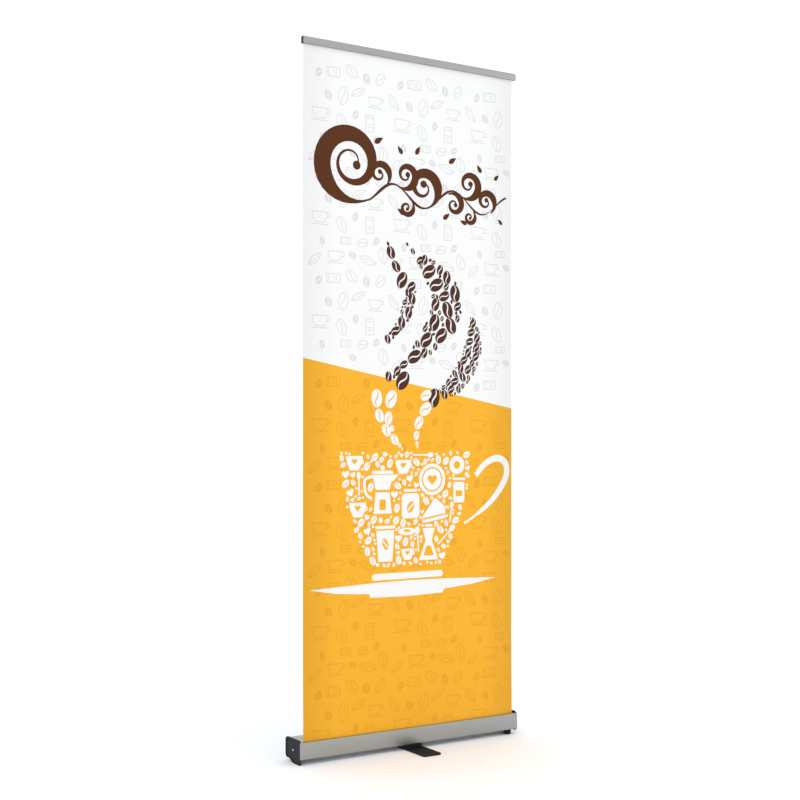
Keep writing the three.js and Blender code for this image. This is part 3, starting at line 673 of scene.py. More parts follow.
    def _steam(self) -> None:
        """Three brown plumes of beans and, below the meeting line, the white ones that feed them."""
        self._chain(Ink.ROAST, Ink.WHITE, [(303, 1566), (330, 1500), (366, 1432), (392, 1392)],
                    [14, 42, 40, 54, 30], [20, 24, 38, -24, 30])
        self._cloud([(396, 1440), (392, 1392), (372, 1334), (330, 1276), (292, 1240)],
                    lambda t: 26 - 14 * abs(2 * t - 0.8), 40, 5)
        self._chain(Ink.ROAST, Ink.WHITE, [(372, 1568), (404, 1536), (440, 1500)],
                    [13, 22, 30], [30, 34, -40])
        self._cloud([(440, 1508), (500, 1450), (532, 1398), (524, 1336), (470, 1262), (392, 1188),
                     (300, 1122)],
                    lambda t: 16 + 46 * math.sin(math.pi * min(1, t * 1.12 + 0.04)) ** 0.9, 58, 11, 1500)
        self._cloud([(634, 1334), (642, 1282), (636, 1224), (604, 1156), (552, 1102), (506, 1080)],
                    lambda t: 5 + 34 * math.sin(math.pi * min(1, 0.02 + t * 0.9)) ** 0.9, 34, 23, 1500)
        self._bean(Ink.ROAST, Ink.WHITE, (362, 1120), 66, -32, 0.7)
        self._bean(Ink.ROAST, Ink.WHITE, (484, 1066), 64, -8, 0.66)
        self._chain(Ink.WHITE, Ink.ORANGE, [(262, 1096), (270, 1020), (300, 960), (338, 924), (362, 898)],
                    [56, 44, 42, 36, 16, 9], [4, 24, 32, 36, 30, 30])
        self._chain(Ink.WHITE, Ink.ORANGE, [(322, 1102), (316, 1040), (308, 990), (330, 956)],
                    [58, 42, 22], [-20, -6, 10])
        self._chain(Ink.WHITE, Ink.ORANGE, [(470, 1056), (436, 1008), (416, 962), (416, 920), (420, 902)],
                    [52, 44, 30, 16, 8], [-48, -26, -10, 0, 6])
        self._bean(Ink.WHITE, Ink.ORANGE, (452, 1074), 46, -58)

    # ---- the cup

    def _bowl_side(self, v: float) -> float:
        """Half of the bowl's width at a height: 130 mm at its foot and 254 mm at its rim."""
        t = max(0.0, min(1.0, (v - self.bowl_low) / (self.bowl_high - self.bowl_low)))
        return 130 + 124 * math.sin(math.pi / 2 * t) ** 0.86

    def _cup(self) -> None:
        """The cup: icons that fill its bowl, an ear, a foot bar and a saucer, all in white."""
        first = len(self.patches)
        self._icons()
        self._fill(self.patches[first:])
        ear = Pen.smooth([(650, 810), (688, 848), (736, 867), (772, 851), (777, 809), (746, 758),
                          (700, 712), (640, 672), (604, 652)], 8)
        self._ink(Ink.WHITE, Pen.stroke(
            ear, lambda t: 8 + 15 * math.sin(math.pi * min(1, t + 0.12)) ** 0.6))
        self._ink(Ink.WHITE, Pen.placed(Pen.slab(136, 10.5, 10.4, 5), (381.5, 492)))
        upper = [(733, 466), (520, 474), (380, 476), (240, 474), (21, 465)]
        lower = [(120, 448), (236, 440), (240, 428), (380, 425), (517, 428), (522, 440), (640, 450)]
        self._ink(Ink.WHITE, lower + upper)

    def _icons(self) -> None:
        """The large icons, from the rim down."""
        white, ground = Ink.WHITE, Ink.ORANGE

        def put(ink: Ink, shape: Outline, u: float, v: float, turn: float = 0.0) -> None:
            """Adds one shape at a place measured from the bowl's centre line."""
            self._ink(ink, Pen.placed(shape, (self.bowl_u + u, v), turn))

        def cup(u: float, v: float, w: float) -> None:
            """A small cup with an ear and a heart."""
            put(white, Pen.oval(w * 0.3, w * 0.27, 14), u + w * 0.86, v + w * 0.12)
            put(ground, Pen.oval(w * 0.16, w * 0.14, 12), u + w * 0.86, v + w * 0.12)
            put(white, Pen.cup(w, w * 0.75, 0.5), u, v)
            put(ground, Pen.heart(w * 0.36), u, v + w * 0.2)

        def plate(u: float, v: float, r: float) -> None:
            """A round plate with a heart on it."""
            put(white, Pen.oval(r, r, 30), u, v)
            put(ground, Pen.oval(r * 0.78, r * 0.78, 26), u, v)
            put(white, Pen.oval(r * 0.68, r * 0.68, 26), u, v)
            put(ground, Pen.heart(r * 0.36), u, v)

        def spoon(u: float, v: float, length: float, turn: float) -> None:
            """A spoon; turn 0 stands it bowl up."""
            handle = Pen.placed(Pen.slab(2.6, length * 0.36, 2.5), (0, -length * 0.12))
            scoop = Pen.placed(Pen.oval(length * 0.1, length * 0.15, 16), (0, length * 0.36))
            put(white, handle, u, v, turn)
            put(white, scoop, u, v, turn)

        # a tall pot with a knob, a lid and a spout, left of centre
        put(white, [(-34, -62), (34, -62), (26, 6), (-26, 6)], -92, 756)
        put(white, [(-26, 14), (26, 14), (38, 62), (-38, 62)], -92, 756)
        put(white, [(38, 62), (62, 62), (33, 36)], -92, 756)
        put(white, Pen.slab(40, 5, 4.5), -92, 826)
        put(white, Pen.oval(9, 8, 14), -92, 840)
        put(ground, Pen.slab(12, 17, 5), -92, 722)
        handle_line = Pen.smooth([(-36, 58), (-66, 46), (-62, 4), (-40, -14)], 6)
        put(white, Pen.stroke(handle_line, lambda t: 9), -92, 756)
        # a plate, a sack, cups and a ring biscuit
        plate(98, 800, 52)
        put(white, Pen.slab(34, 40, 12), 14, 716)
        put(ground, Pen.oval(13, 20, 16), 14, 712, -28)
        put(white, Pen.oval(3, 20, 12), 14, 712, -44)
        put(white, Pen.slab(26, 4.5, 4.4), 14, 766)
        cup(-14, 842, 30)
        cup(-196, 856, 30)
        cup(-184, 708, 31)
        put(white, Pen.oval(30, 30, 26), 196, 846)
        put(ground, Pen.oval(13, 13, 18), 196, 846)
        put(white, Pen.slab(22, 34, 6), 204, 756)
        put(ground, Pen.slab(13, 10, 2), 204, 752)
        put(white, Pen.slab(26, 4, 3.9), 204, 800)
        # a wedge of cake, two layers deep
        put(white, [(-44, -34), (46, -20), (46, 18), (6, 48), (-44, -12)], 104, 692)
        put(ground, [(-42, -24), (44, -9), (44, -4), (-42, -18)], 104, 692)
        # the lower row: a tumbler, a flask and a small tower of cups
        put(white, [(-26, -54), (26, -54), (34, 46), (-34, 46)], -82, 594)
        put(white, Pen.slab(38, 5, 4.9), -82, 650)
        put(ground, Pen.oval(11, 20, 16), -82, 596, 24)
        put(white, Pen.oval(2.6, 20, 12), -82, 596, 38)
        put(white, [(-38, -54), (38, -54), (12, 10), (24, 50), (-24, 50), (-12, 10)], 84, 592)
        put(ground, [(-20, -40), (20, -40), (9, -8), (-9, -8)], 84, 592)
        put(white, Pen.slab(15, 4, 3.9), 84, 650)
        cup(2, 560, 24)
        put(white, Pen.oval(34, 12, 22), 0, 634)
        put(ground, Pen.oval(14, 4.5, 16), 0, 636)
        spoon(-180, 790, 76, 0)
        spoon(152, 616, 92, -48)
        spoon(42, 606, 84, 4)
        spoon(62, 880, 82, -90)
        spoon(172, 690, 70, -8)

    def _fill(self, icons: Sequence[Patch]) -> None:
        """Packs small beans, hearts and dots into what the icons leave free of the bowl.

        Args:
            icons: The large icons' patches.
        """
        chance = random.Random(4)
        solids = [patch.outline for patch in icons if patch.ink is Ink.WHITE]
        edges = [point for outline in solids for point in self._dense(outline)]
        taken: list[tuple[float, float, float]] = []
        for length, tries in ((30, 900), (22, 1200), (16, 1400), (10, 1500)):
            r = length * 0.44
            for _ in range(tries):
                v = chance.uniform(self.bowl_low + 4, self.bowl_high - 2)
                half = self._bowl_side(v)
                u = self.bowl_u + chance.uniform(-half, half)
                if (abs(u - self.bowl_u) > half - r or v - r < self.bowl_low + 1
                        or v + r > self.bowl_high + 1):
                    continue
                if any(math.dist((u, v), (a, b)) < r + s + 1.6 for a, b, s in taken):
                    continue
                if any(abs(a - u) < r + 2 and abs(b - v) < r + 2 and math.dist((u, v), (a, b)) < r + 2
                       for a, b in edges) or any(self._inside((u, v), shape) for shape in solids):
                    continue
                taken.append((u, v, r))
                if length > 14 and chance.random() < 0.2:
                    heart = Pen.heart(length * 0.46)
                    self._ink(Ink.WHITE, Pen.placed(heart, (u, v), chance.uniform(-25, 25)))
                elif length > 12:
                    self._bean(Ink.WHITE, Ink.ORANGE, (u, v), length, chance.uniform(-70, 70))
                else:
                    self._ink(Ink.WHITE, Pen.placed(Pen.oval(r, r, 10), (u, v)))

    @staticmethod
    def _dense(outline: Outline, step: float = 5) -> Outline:
        """The outline's points, with more set in along its longer sides."""
        points = []
        for a, b in zip(outline, outline[1:] + outline[:1]):
            count = max(1, int(math.dist(a, b) / step))
            points += [(a[0] + (b[0] - a[0]) * k / count, a[1] + (b[1] - a[1]) * k / count)
                       for k in range(count)]
        return points

    @staticmethod
    def _inside(point: Point, outline: Outline) -> bool:
        """Whether a point lies inside an outline."""
        x, y = point
        odd = False
        for (ax, ay), (bx, by) in zip(outline, outline[1:] + outline[:1]):
            if (ay > y) != (by > y) and x < (bx - ax) * (y - ay) / (by - ay) + ax:
                odd = not odd
        return odd


# ---------------------------------------------------------------- the workbench

class Axis(Enum):
    """A direction that a piece is drawn along."""

    X = "x"
    Z = "z"


def take_up(piece: bpy.types.Object) -> None:
    """Selects one piece alone and makes it the active one."""
    bpy.ops.object.select_all(action="DESELECT")
    piece.select_set(True)
    bpy.context.view_layer.objects.active = piece


@contextmanager
def editing(piece: bpy.types.Object, mode: str = "FACE") -> Iterator[None]:
    """Opens one piece in edit mode with nothing selected, and closes it again.

    Args:
        piece: The piece to edit.
        mode: What can be selected: VERT, EDGE or FACE.
    """
    take_up(piece)
    bpy.ops.object.mode_set(mode="EDIT")
    bpy.ops.mesh.select_mode(type=mode)
    bpy.ops.mesh.select_all(action="DESELECT")
    yield
    bpy.ops.object.mode_set(mode="OBJECT")


def pick_faces(piece: bpy.types.Object, test: Test) -> None:
    """Selects the faces whose middle and normal pass a test.

    Args:
        piece: The piece in edit mode.
        test: Takes a face's middle in millimetres and its normal.
    """
    mesh = bmesh.from_edit_mesh(piece.data)
    for face in [f for f in mesh.faces if test(f.calc_center_median() / MM, f.normal)]:
        face.select_set(True)
    bmesh.update_edit_mesh(piece.data)


def pick_edges(piece: bpy.types.Object, test: Test) -> int:
    """Selects the edges whose middle and direction pass a test.

    Args:
        piece: The piece in edit mode.
        test: Takes an edge's middle in millimetres and its direction.

    Returns:
        How many edges are selected.
    """
    mesh = bmesh.from_edit_mesh(piece.data)
    found = [e for e in mesh.edges if test((e.verts[0].co + e.verts[1].co) / 2 / MM,
                                           (e.verts[1].co - e.verts[0].co).normalized())]
    for edge in found:
        edge.select_set(True)
    bmesh.update_edit_mesh(piece.data)
    return len(found)


def finished(piece: bpy.types.Object, name: str) -> bpy.types.Object:
    """Names a new primitive and puts its place into its mesh."""
    piece.name = piece.data.name = name
    take_up(piece)
    bpy.ops.object.transform_apply(location=True, rotation=True, scale=True)
    return piece


def block(name: str, low: Place, high: Place) -> bpy.types.Object:
    """Adds a block between two corners, in millimetres."""
    middle = tuple((a + b) / 2 * MM for a, b in zip(low, high))
    bpy.ops.mesh.primitive_cube_add(size=1, location=middle,
                                    scale=tuple(abs(b - a) * MM for a, b in zip(low, high)))
    return finished(bpy.context.object, name)


def turned(name: str, axis: Axis, centre: Point, profile: Sequence[Point],
           sides: int = 48) -> bpy.types.Object:
    """Turns a solid: a disc drawn out step by step, as on a lathe.

    Args:
        name: The piece's name.
        axis: What it is turned about.
        centre: The axis's place in the other two directions: Y and Z for X, X and Y for Z.
        profile: Radius and place along the axis at each step, from one end to the other.
        sides: Sides of the circle.

    Returns:
        The closed solid.
    """
    radius, start = profile[0]
    bpy.ops.mesh.primitive_circle_add(vertices=sides, radius=radius * MM, fill_type="NGON",
                                      location=(0, 0, start * MM))
    piece = finished(bpy.context.object, name)
    with editing(piece):
        bpy.ops.mesh.select_all(action="SELECT")
        for wide, place in profile[1:]:
            bpy.ops.mesh.extrude_region_move(
                TRANSFORM_OT_translate={"value": (0, 0, (place - start) * MM)})
            bpy.ops.transform.resize(value=(wide / radius, wide / radius, 1),
                                     center_override=(0, 0, place * MM))
            radius, start = wide, place
        bpy.ops.mesh.select_all(action="SELECT")
        bpy.ops.mesh.normals_make_consistent(inside=False)
    if axis is Axis.X:
        piece.rotation_euler = (0, math.pi / 2, 0)
        piece.location = (0, centre[0] * MM, centre[1] * MM)
    else:
        piece.location = (centre[0] * MM, centre[1] * MM, 0)
    return finished(piece, name)


def rod(name: str, axis: Axis, centre: Point, radius: float, start: float, end: float,
        sides: int = 48) -> bpy.types.Object:
    """A plain round bar, as a start for a tube or as a cutter."""
    return turned(name, axis, centre, [(radius, start), (radius, end)], sides)


def apply_modifier(piece: bpy.types.Object, kind: str, **settings: Any) -> None:
    """Adds one modifier with its settings and applies it."""
    modifier = piece.modifiers.new(kind.lower(), kind)
    for name, value in settings.items():
        setattr(modifier, name, value)
    take_up(piece)
    bpy.ops.object.modifier_apply(modifier=modifier.name)


def combine(piece: bpy.types.Object, tools: Sequence[bpy.types.Object], how: str) -> None:
    """Adds tools to a piece or cuts them out of it, and clears them away.

    Args:
        piece: The piece that is kept.
        tools: The solids that are used up.
        how: UNION or DIFFERENCE.
    """
    for tool in tools:
        apply_modifier(piece, "BOOLEAN", operation=how, object=tool, solver="EXACT")
        bpy.data.objects.remove(tool, do_unlink=True)


def cut(piece: bpy.types.Object, *tools: bpy.types.Object) -> None:
    """Cuts the tools out of the piece."""
    combine(piece, tools, "DIFFERENCE")


def weld(piece: bpy.types.Object, *tools: bpy.types.Object) -> None:
    """Makes the tools one solid with the piece."""
    combine(piece, tools, "UNION")


def round_edges(piece: bpy.types.Object, width: float, segments: int, test: Test) -> None:
    """Rounds chosen edges.

    Args:
        piece: The piece.
        width: The rounding's size in millimetres.
        segments: Steps in the rounding.
        test: Chooses the edges by their middle, in millimetres, and direction.
    """
    with editing(piece, "EDGE"):
        if pick_edges(piece, test):
            bpy.ops.mesh.bevel(offset=width * MM, segments=segments, affect="EDGES",
                               clamp_overlap=True)


def ease(piece: bpy.types.Object, width: float = 0.4, segments: int = 2) -> bpy.types.Object:
    """Breaks every sharp edge and smooths the shading across what is round.

    Args:
        piece: The piece.
        width: The rounding's size in millimetres.
        segments: Steps in the rounding.

    Returns:
        The piece.
    """
    sharp, smooth = 38, 32  # degrees between two faces, above which they are sharp or below which smooth
    with editing(piece, "VERT"):
        bpy.ops.mesh.select_all(action="SELECT")
        bpy.ops.mesh.remove_doubles(threshold=0.01 * MM)
        bpy.ops.mesh.dissolve_limited(angle_limit=math.radians(0.2))
    apply_modifier(piece, "BEVEL", width=width * MM, segments=segments, limit_method="ANGLE",
                   angle_limit=math.radians(sharp), use_clamp_overlap=True)
    take_up(piece)
    bpy.ops.object.shade_smooth_by_angle(angle=math.radians(smooth))
    return piece


def copy_of(piece: bpy.types.Object, name: str, half_turn: bool = False,
            mirror: bool = False) -> bpy.types.Object:
    """Copies a piece with its own mesh.

    Args:
        piece: The piece to copy.
        name: The copy's name.
        half_turn: Turns the copy half way round the vertical axis.
        mirror: Mirrors the copy left to right.

    Returns:
        The copy.
    """
    take_up(piece)
    bpy.ops.object.duplicate()
    twin = bpy.context.object
    twin.rotation_euler = (0, 0, math.pi if half_turn else 0)
    twin.scale = (-1 if mirror else 1, 1, 1)
    finished(twin, name)
    if mirror:
        with editing(twin):
            bpy.ops.mesh.select_all(action="SELECT")
            bpy.ops.mesh.normals_make_consistent(inside=False)
    return twin


def settle(piece: bpy.types.Object, body: str, finish: Finish, *nodes: str) -> None:
    """Dresses a finished piece, puts it on its body and lets it stand for CAD nodes.

    Args:
        piece: The piece.
        body: The CAD body it rides on, or nothing for a piece that is left unattached.
        finish: Its finish.
        nodes: The CAD nodes it replaces.
    """
    if not piece.data.materials:
        piece.data.materials.append(finish.build())
    if body:
        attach(piece, body)
    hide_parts(*nodes)
    piece.data.calc_loop_triangles()
    log.info("%s: %d triangles on %s", piece.name, len(piece.data.loop_triangles),
             body or "two bodies")


# ---------------------------------------------------------------- the film

@dataclass
class Film:
    """The printed film, in two sheets that meet in one line, so that the picture runs through.

    The upper sheet hangs from the rail. The lower sheet stands in the cassette's slot and rides on
    the cassette. A short tail of the upper one laps behind it.
    """

    artwork: Artwork = field(default_factory=Artwork)
    top: float = 2235                # a height just under the rail's grip
    grip_bottom: float = 2215        # above it the film follows the rail and nothing else
    bottom: float = 43               # where it meets the roller
    slot_top: float = 70
    meeting: float = 1391.5          # height at which the sheets meet
    lap: float = 4                   # so the upper sheet ends just inside the slot, the pole down
    step_back: float = 3             # height over which the tail steps behind the lower sheet
    step_gap: float = 0.25           # and the gap that is left between them
    thick: float = 0.3
    plane: float = -40               # Y of the film's middle
    curl: float = 2.0                # how far the side edges turn back
    curl_from: float = 46            # how far from the edge the curl starts
    wave: float = 0.4                # how far the film waves from its plane
    grid: float = 50                 # spacing of the mesh's own lines
    run_in: float = 64               # a height inside the slot
    left_over: float = 2.6           # a short height for the lower sheet

    def build(self) -> None:
        """Makes both sheets."""
        patches = self.artwork.draw()
        upper = self._sheet("film_upper", self.meeting - self.lap, self.top, patches)
        lower = self._sheet("film_lower", self.bottom, self.meeting, patches)
        settle(upper, "", Ink.WHITE.finish, "banner_film")
        settle(lower, "cassette", Ink.WHITE.finish, "banner_film")
        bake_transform(upper)
        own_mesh(lower)

    def _depth(self, u: float, z: float) -> float:
        """How far back the film lies from its plane at a place, in millimetres.

        Args:
            u: Distance from the left edge.
            z: Height above the floor.

        Returns:
            The depth, positive away from the viewer.
        """
        edge = min(u, self.artwork.width - u)
        above_slot = min(1.0, max(0.0, (z - self.slot_top) / 260))
        below_rail = min(1.0, max(0.0, (self.top - 15 - z) / 200))
        hold = above_slot * below_rail
        ease_in = hold * hold * (3 - 2 * hold)
        curl = max(0.0, 1 - edge / self.curl_from) ** 2 * self.curl
        wave = self.wave * (math.sin(u / 97 + z / 410) * 0.6 + math.sin(u / 61 - z / 530 + 1.3) * 0.4)
        return ease_in * (curl + wave)

    def _sheet(self, name: str, low: float, high: float,
               patches: Sequence[Patch]) -> bpy.types.Object:
        """Meshes one sheet along the outlines of its print, then bends and thickens it.

        Args:
            name: The piece's name.
            low: Height of its lower edge.
            high: Height of its upper edge.
            patches: The print.

        Returns:
            The sheet.
        """
        base = self.slot_top
        width = self.artwork.width
        v0, v1 = low - base, high - base
        points: list[Vector] = []
        edges: list[tuple[int, int]] = []
        faces: list[list[int]] = []

        def add(outline: Outline) -> None:
            """Puts one closed outline in."""
            first = len(points)
            points.extend(Vector(p) for p in outline)
            faces.append(list(range(first, first + len(outline))))

        add([(0, v0), (width, v0), (width, v1), (0, v1)])
        inks = [Ink.WHITE]
        for patch in patches:
            heights = [p[1] for p in patch.outline]
            if max(heights) > v0 and min(heights) < v1:
                add(self._facing_up(patch.outline))
                inks.append(patch.ink)
        bands = round((v1 - v0) / self.grid)
        columns = [4, 9, 15, 22, 30, 38, self.curl_from]
        columns += [width - c for c in columns]
        columns += list(range(100, int(width) - 90, int(self.grid)))
        lines = [((u, v0), (u, v1)) for u in columns]
        lines += [((0, v), (width, v)) for v in (v0 + (v1 - v0) * k / bands for k in range(1, bands))]
        for line in lines:
            edges.append((len(points), len(points) + 1))
            points += [Vector(end) for end in line]
        found, _, cells, _, _, owners = delaunay_2d_cdt(points, edges, faces, 1, 1e-5)
        # the first face is the sheet itself; where others lie on it, the last one laid down shows
        kept = [(cell, max(owner)) for cell, owner in zip(cells, owners) if 0 in owner]
        places = []
        for u, v in found:
            depth = self.plane + self._depth(u, v + base) + self._tail(v + base, high)
            places.append(((u - width / 2) * MM, depth * MM, (v + base) * MM))
        mesh = bpy.data.meshes.new(name)
        mesh.from_pydata(places, [], [cell for cell, _ in kept])
        order = list(Ink)
        for ink in order:
            mesh.materials.append(ink.finish.build())
        mesh.materials.append(Finishes.FILM_BACK.build())
        for polygon, (_, owner) in zip(mesh.polygons, kept):
            polygon.material_index = order.index(inks[owner])
        piece = bpy.data.objects.new(name, mesh)
        bpy.context.collection.objects.link(piece)
        with editing(piece, "VERT"):
            bpy.ops.mesh.select_all(action="SELECT")
            bpy.ops.mesh.delete_loose()
            bpy.ops.mesh.normals_make_consistent(inside=False)
        if sum(p.normal.y for p in mesh.polygons) > 0:
            with editing(piece):
                bpy.ops.mesh.select_all(action="SELECT")
                bpy.ops.mesh.flip_normals()
        apply_modifier(piece, "SOLIDIFY", thickness=self.thick * MM, offset=-1,
                       material_offset=len(order), material_offset_rim=len(order))
        bpy.ops.object.shade_smooth_by_angle(angle=math.radians(30))
        return piece

    def _tail(self, z: float, high: float) -> float:
        """How far the upper sheet's tail steps back to pass behind the lower sheet."""
        if high < self.top or z > self.meeting:
            return 0.0
        return min(1.0, (self.meeting - z) / self.step_back) * (self.thick + self.step_gap)

    @staticmethod
    def _facing_up(outline: Outline) -> Outline:
        """The outline, counter-clockwise."""
        twice_area = sum(a[0] * b[1] - b[0] * a[1] for a, b in zip(outline, outline[1:] + outline[:1]))
        return outline if twice_area > 0 else outline[::-1]


# ---------------------------------------------------------------- cassette

@dataclass
class Cassette:
    """The floor box: an extrusion with a slot, two end caps, their screws and two domed feet."""

    half: float = 415.5              # half its length over the end caps
    inner: float = 411.5             # half the length of what stands between the end caps
    depth: float = 50                # half its depth
    ground: float = 17               # the underside's height above the floor
    top: float = 70
    wall: float = 2
    corner: float = 2.5
    slot: Point = (-43, -37)         # front and rear edge of the slot
    slot_return: float = 7           # how far the slot's guides reach down
    port: Point = (0, 40)            # Y and Z of the screw port
    port_radius: float = 4.5
    port_bore: float = 1.9
    pivot_bore: float = 4.3          # for the swivel foot's bolt
    socket_bore: float = 12.3        # for the pole's socket
    axle: Point = (-22.5, 42)        # Y and Z of the roller's axle
    axle_bore: float = 5.3
    cap_inner: float = 411.8
    cap_half: float = 47.7           # half the end cap's depth
    cap_top: float = 76
    cap_low: float = 11              # the cap's underside where it has no lobe
    cap_lobe: Point = (-2, 22)       # where the lobe ends and where its slope has run out
    cap_rim: float = 3
    cap_pocket: float = 2.2          # how far the cap's face is sunk inside its rim
    plug_end: float = 401
    plug_wall: float = 1.8
    foot_place: Point = (385, -34)   # of the right foot; the left one stands diagonally opposite
    foot_radius: float = 13
    foot_height: float = 16.7

    def build(self) -> None:
        """Makes every piece of the cassette."""
        settle(self._profile(), "cassette", Finishes.EXTRUSION, "cassette_profile")
        for side, name in ((-1, "left"), (1, "right")):
            cap = self._cap(side, name)
            settle(cap, "cassette", Finishes.MOULDED_BLACK, f"end_cap_{name}")
        left = self._screw()
        right = copy_of(left, "cap_screw_right", mirror=True)
        settle(left, "cassette", Finishes.ZINC_STEEL, "end_cap_screw_left")
        settle(right, "cassette", Finishes.ZINC_STEEL, "end_cap_screw_right")
        right_foot = self._foot()
        left_foot = copy_of(right_foot, "dome_foot_left_domed", half_turn=True)
        settle(right_foot, "cassette", Finishes.RUBBER, "dome_foot_right")
        settle(left_foot, "cassette", Finishes.RUBBER, "dome_foot_left")

    def _profile(self) -> bpy.types.Object:
        """The extrusion: a rounded box with two chambers, a slot with guides and a screw port."""
        far, past = self.half, 2.0
        box = block("cassette_extrusion", (-far, -self.depth, self.ground),
                    (far, self.depth, self.top))
        round_edges(box, self.corner, 5, lambda m, d: abs(d.x) > 0.9)
        floor, roof, half_web = self.ground + self.wall, self.top - self.wall, self.wall / 2
        chambers = []
        for low, high in ((-self.depth + self.wall, -half_web), (half_web, self.depth - self.wall)):
            chamber = block("chamber", (-far - past, low, floor), (far + past, high, roof))
            round_edges(chamber, 0.8, 2, lambda m, d: abs(d.x) > 0.9)
            chambers.append(chamber)
        cut(box, *chambers)
        front, rear = self.slot
        low = roof - self.slot_return
        guides = [block("guide", (-self.inner, front - self.wall, low), (self.inner, front, roof + 1)),
                  block("guide", (-self.inner, rear, low), (self.inner, rear + self.wall, roof + 1)),
                  rod("port", Axis.X, self.port, self.port_radius, -self.inner, self.inner, 32)]
        weld(box, *guides)
        rebates = []
        for side in (-1, 1):
            start, end = sorted((side * self.inner, side * (far + past)))
            rebates.append(block("rebate", (start, -self.depth + self.wall, self.ground - past),
                                 (end, self.depth - self.wall, self.top + past)))
        cut(box, block("slot", (-far - past, front, low - past), (far + past, rear, self.top + past)),
            rod("port_bore", Axis.X, self.port, self.port_bore, -far - past, far + past, 24), *rebates,
            rod("pivot_hole", Axis.Z, (0, 0), self.pivot_bore, self.ground - past, floor + past),
            rod("socket_hole", Axis.Z, (0, POLE_Y), self.socket_bore, roof - past, self.top + past, 64),
            block("washer_room", (-10, -2.2, floor - 0.1),
                  (10, 2.2, self.port[1] - self.port_radius - 4)))
        return ease(box, 0.3)

    def _cap(self, side: int, name: str) -> bpy.types.Object:
        """An end cap: a rimmed flange with a foot lobe, and plugs that fill the chambers' ends.

        Args:
            side: -1 for the left cap, whose lobe is at the front, and 1 for the right.
            name: left or right.

        Returns:
            The cap, its sunk face in the coarser texture.
        """
        half, low, top = self.cap_half, self.cap_low, self.cap_top
        lobe_end, slope_end = self.cap_lobe
        cap = block(f"end_cap_{name}_moulded", (-self.half, -half, 0), (-self.cap_inner, half, top))
        with editing(cap, "EDGE"):
            for y in self.cap_lobe:
                bpy.ops.mesh.select_all(action="SELECT")
                bpy.ops.mesh.bisect(plane_co=(0, y * MM, 0), plane_no=(0, 1, 0))
            bpy.ops.mesh.select_all(action="DESELECT")
            pick_edges(cap, lambda m, d: abs(d.x) > 0.9 and m.y > slope_end - 1 and m.z < 1)
            bpy.ops.transform.translate(value=(0, 0, low * MM))
        corners = [((-half, 0), 4.0), ((lobe_end, 0), 2.0), ((slope_end, low), 2.0),
                   ((half, low), 10.0), ((half, top), 13.0), ((-half, top), 10.0)]
        for (y, z), offset in corners:
            round_edges(cap, offset, 8,
                        lambda m, d: abs(d.x) > 0.9 and math.hypot(m.y - y, m.z - z) < 0.1)
        with editing(cap):
            pick_faces(cap, lambda m, n: n.x < -0.9)
            bpy.ops.mesh.inset(thickness=self.cap_rim * MM, depth=0)
            bpy.ops.mesh.extrude_region_move(
                TRANSFORM_OT_translate={"value": (self.cap_pocket * MM, 0, 0)})
        if side > 0:
            left_hand = cap
            cap = copy_of(left_hand, f"{left_hand.name}_turned", half_turn=True)
            bpy.data.objects.remove(left_hand, do_unlink=True)
            cap.name = f"end_cap_{name}_moulded"
        floor = self.half - self.cap_pocket
        weld(cap, self._across("screw_boss", side, floor - 0.3, floor + 0.9, self.port, 7.0),
             *self._plugs(side))
        cut(cap, self._across("screw_seat", side, floor + 0.3, floor + 3, self.port, 5.0),
            self._across("screw_hole", side, self.cap_inner - 2, self.half + 2, self.port, 2.2),
            self._across("port_room", side, self.plug_end - 1, self.cap_inner, self.port,
                         self.port_radius + CLEARANCE),
            self._across("axle_bore", side, self.plug_end - 1, self.cap_inner, self.axle,
                         self.axle_bore))
        ease(cap, 0.45, 3)
        cap.data.materials.append(Finishes.MOULDED_BLACK.build())
        cap.data.materials.append(Finishes.TEXTURED_BLACK.build())
        # the sunk face wears the second material
        for face in cap.data.polygons:
            if abs(face.normal.x) > 0.95 and abs(abs(face.center.x) / MM - floor) < 0.05:
                face.material_index = 1
        return cap

    def _across(self, name: str, side: int, near: float, far: float, centre: Point,
                radius: float) -> bpy.types.Object:
        """A round bar along X at one end, between two distances from the middle."""
        start, end = sorted((side * near, side * far))
        return rod(name, Axis.X, centre, radius, start, end, 40)

    def _plugs(self, side: int) -> list[bpy.types.Object]:
        """The hollow plugs behind an end cap and the boss that holds the axle."""
        floor = self.ground + self.wall + CLEARANCE
        roof = self.top - self.wall - CLEARANCE
        web, wall = self.wall / 2 + CLEARANCE, self.plug_wall
        start, end = sorted((side * self.plug_end, side * (self.cap_inner + 0.9)))
        room_start, room_end = sorted((side * (self.plug_end - 1), side * self.cap_inner))
        plugs = []
        for y0, y1, high in ((-self.cap_half, -web, roof - self.slot_return),
                             (web, self.cap_half, roof)):
            plug = block("plug", (start, y0, floor), (end, y1, high))
            cut(plug, block("plug_room", (room_start, y0 + wall, floor + wall),
                            (room_end, y1 - wall, high - wall)))
            plugs.append(plug)
        return plugs + [self._across("axle_boss", side, 402.3, self.cap_inner + 0.9, self.axle, 9.0)]

    def _screw(self) -> bpy.types.Object:
        """The left cap's pan-head screw with its cross recess."""
        seat = self.half - self.cap_pocket + 0.3
        shank = [(1.0, -389.4), (1.6, -390.2), (1.6, -seat)]
        head = [(4.0, -seat), (4.0, -seat - 0.7), (3.7, -seat - 1.2), (3.0, -seat - 1.6),
                (1.8, -seat - 1.8)]
        screw = turned("cap_screw_left", Axis.X, self.port, shank + head, 32)
        y, z = self.port
        arms = [block("recess", (-seat - 3, y - wide, z - tall), (-seat - 0.9, y + wide, z + tall))
                for wide, tall in ((2.0, 0.5), (0.5, 2.0))]
        cut(screw, *arms)
        return ease(screw, 0.12, 2)

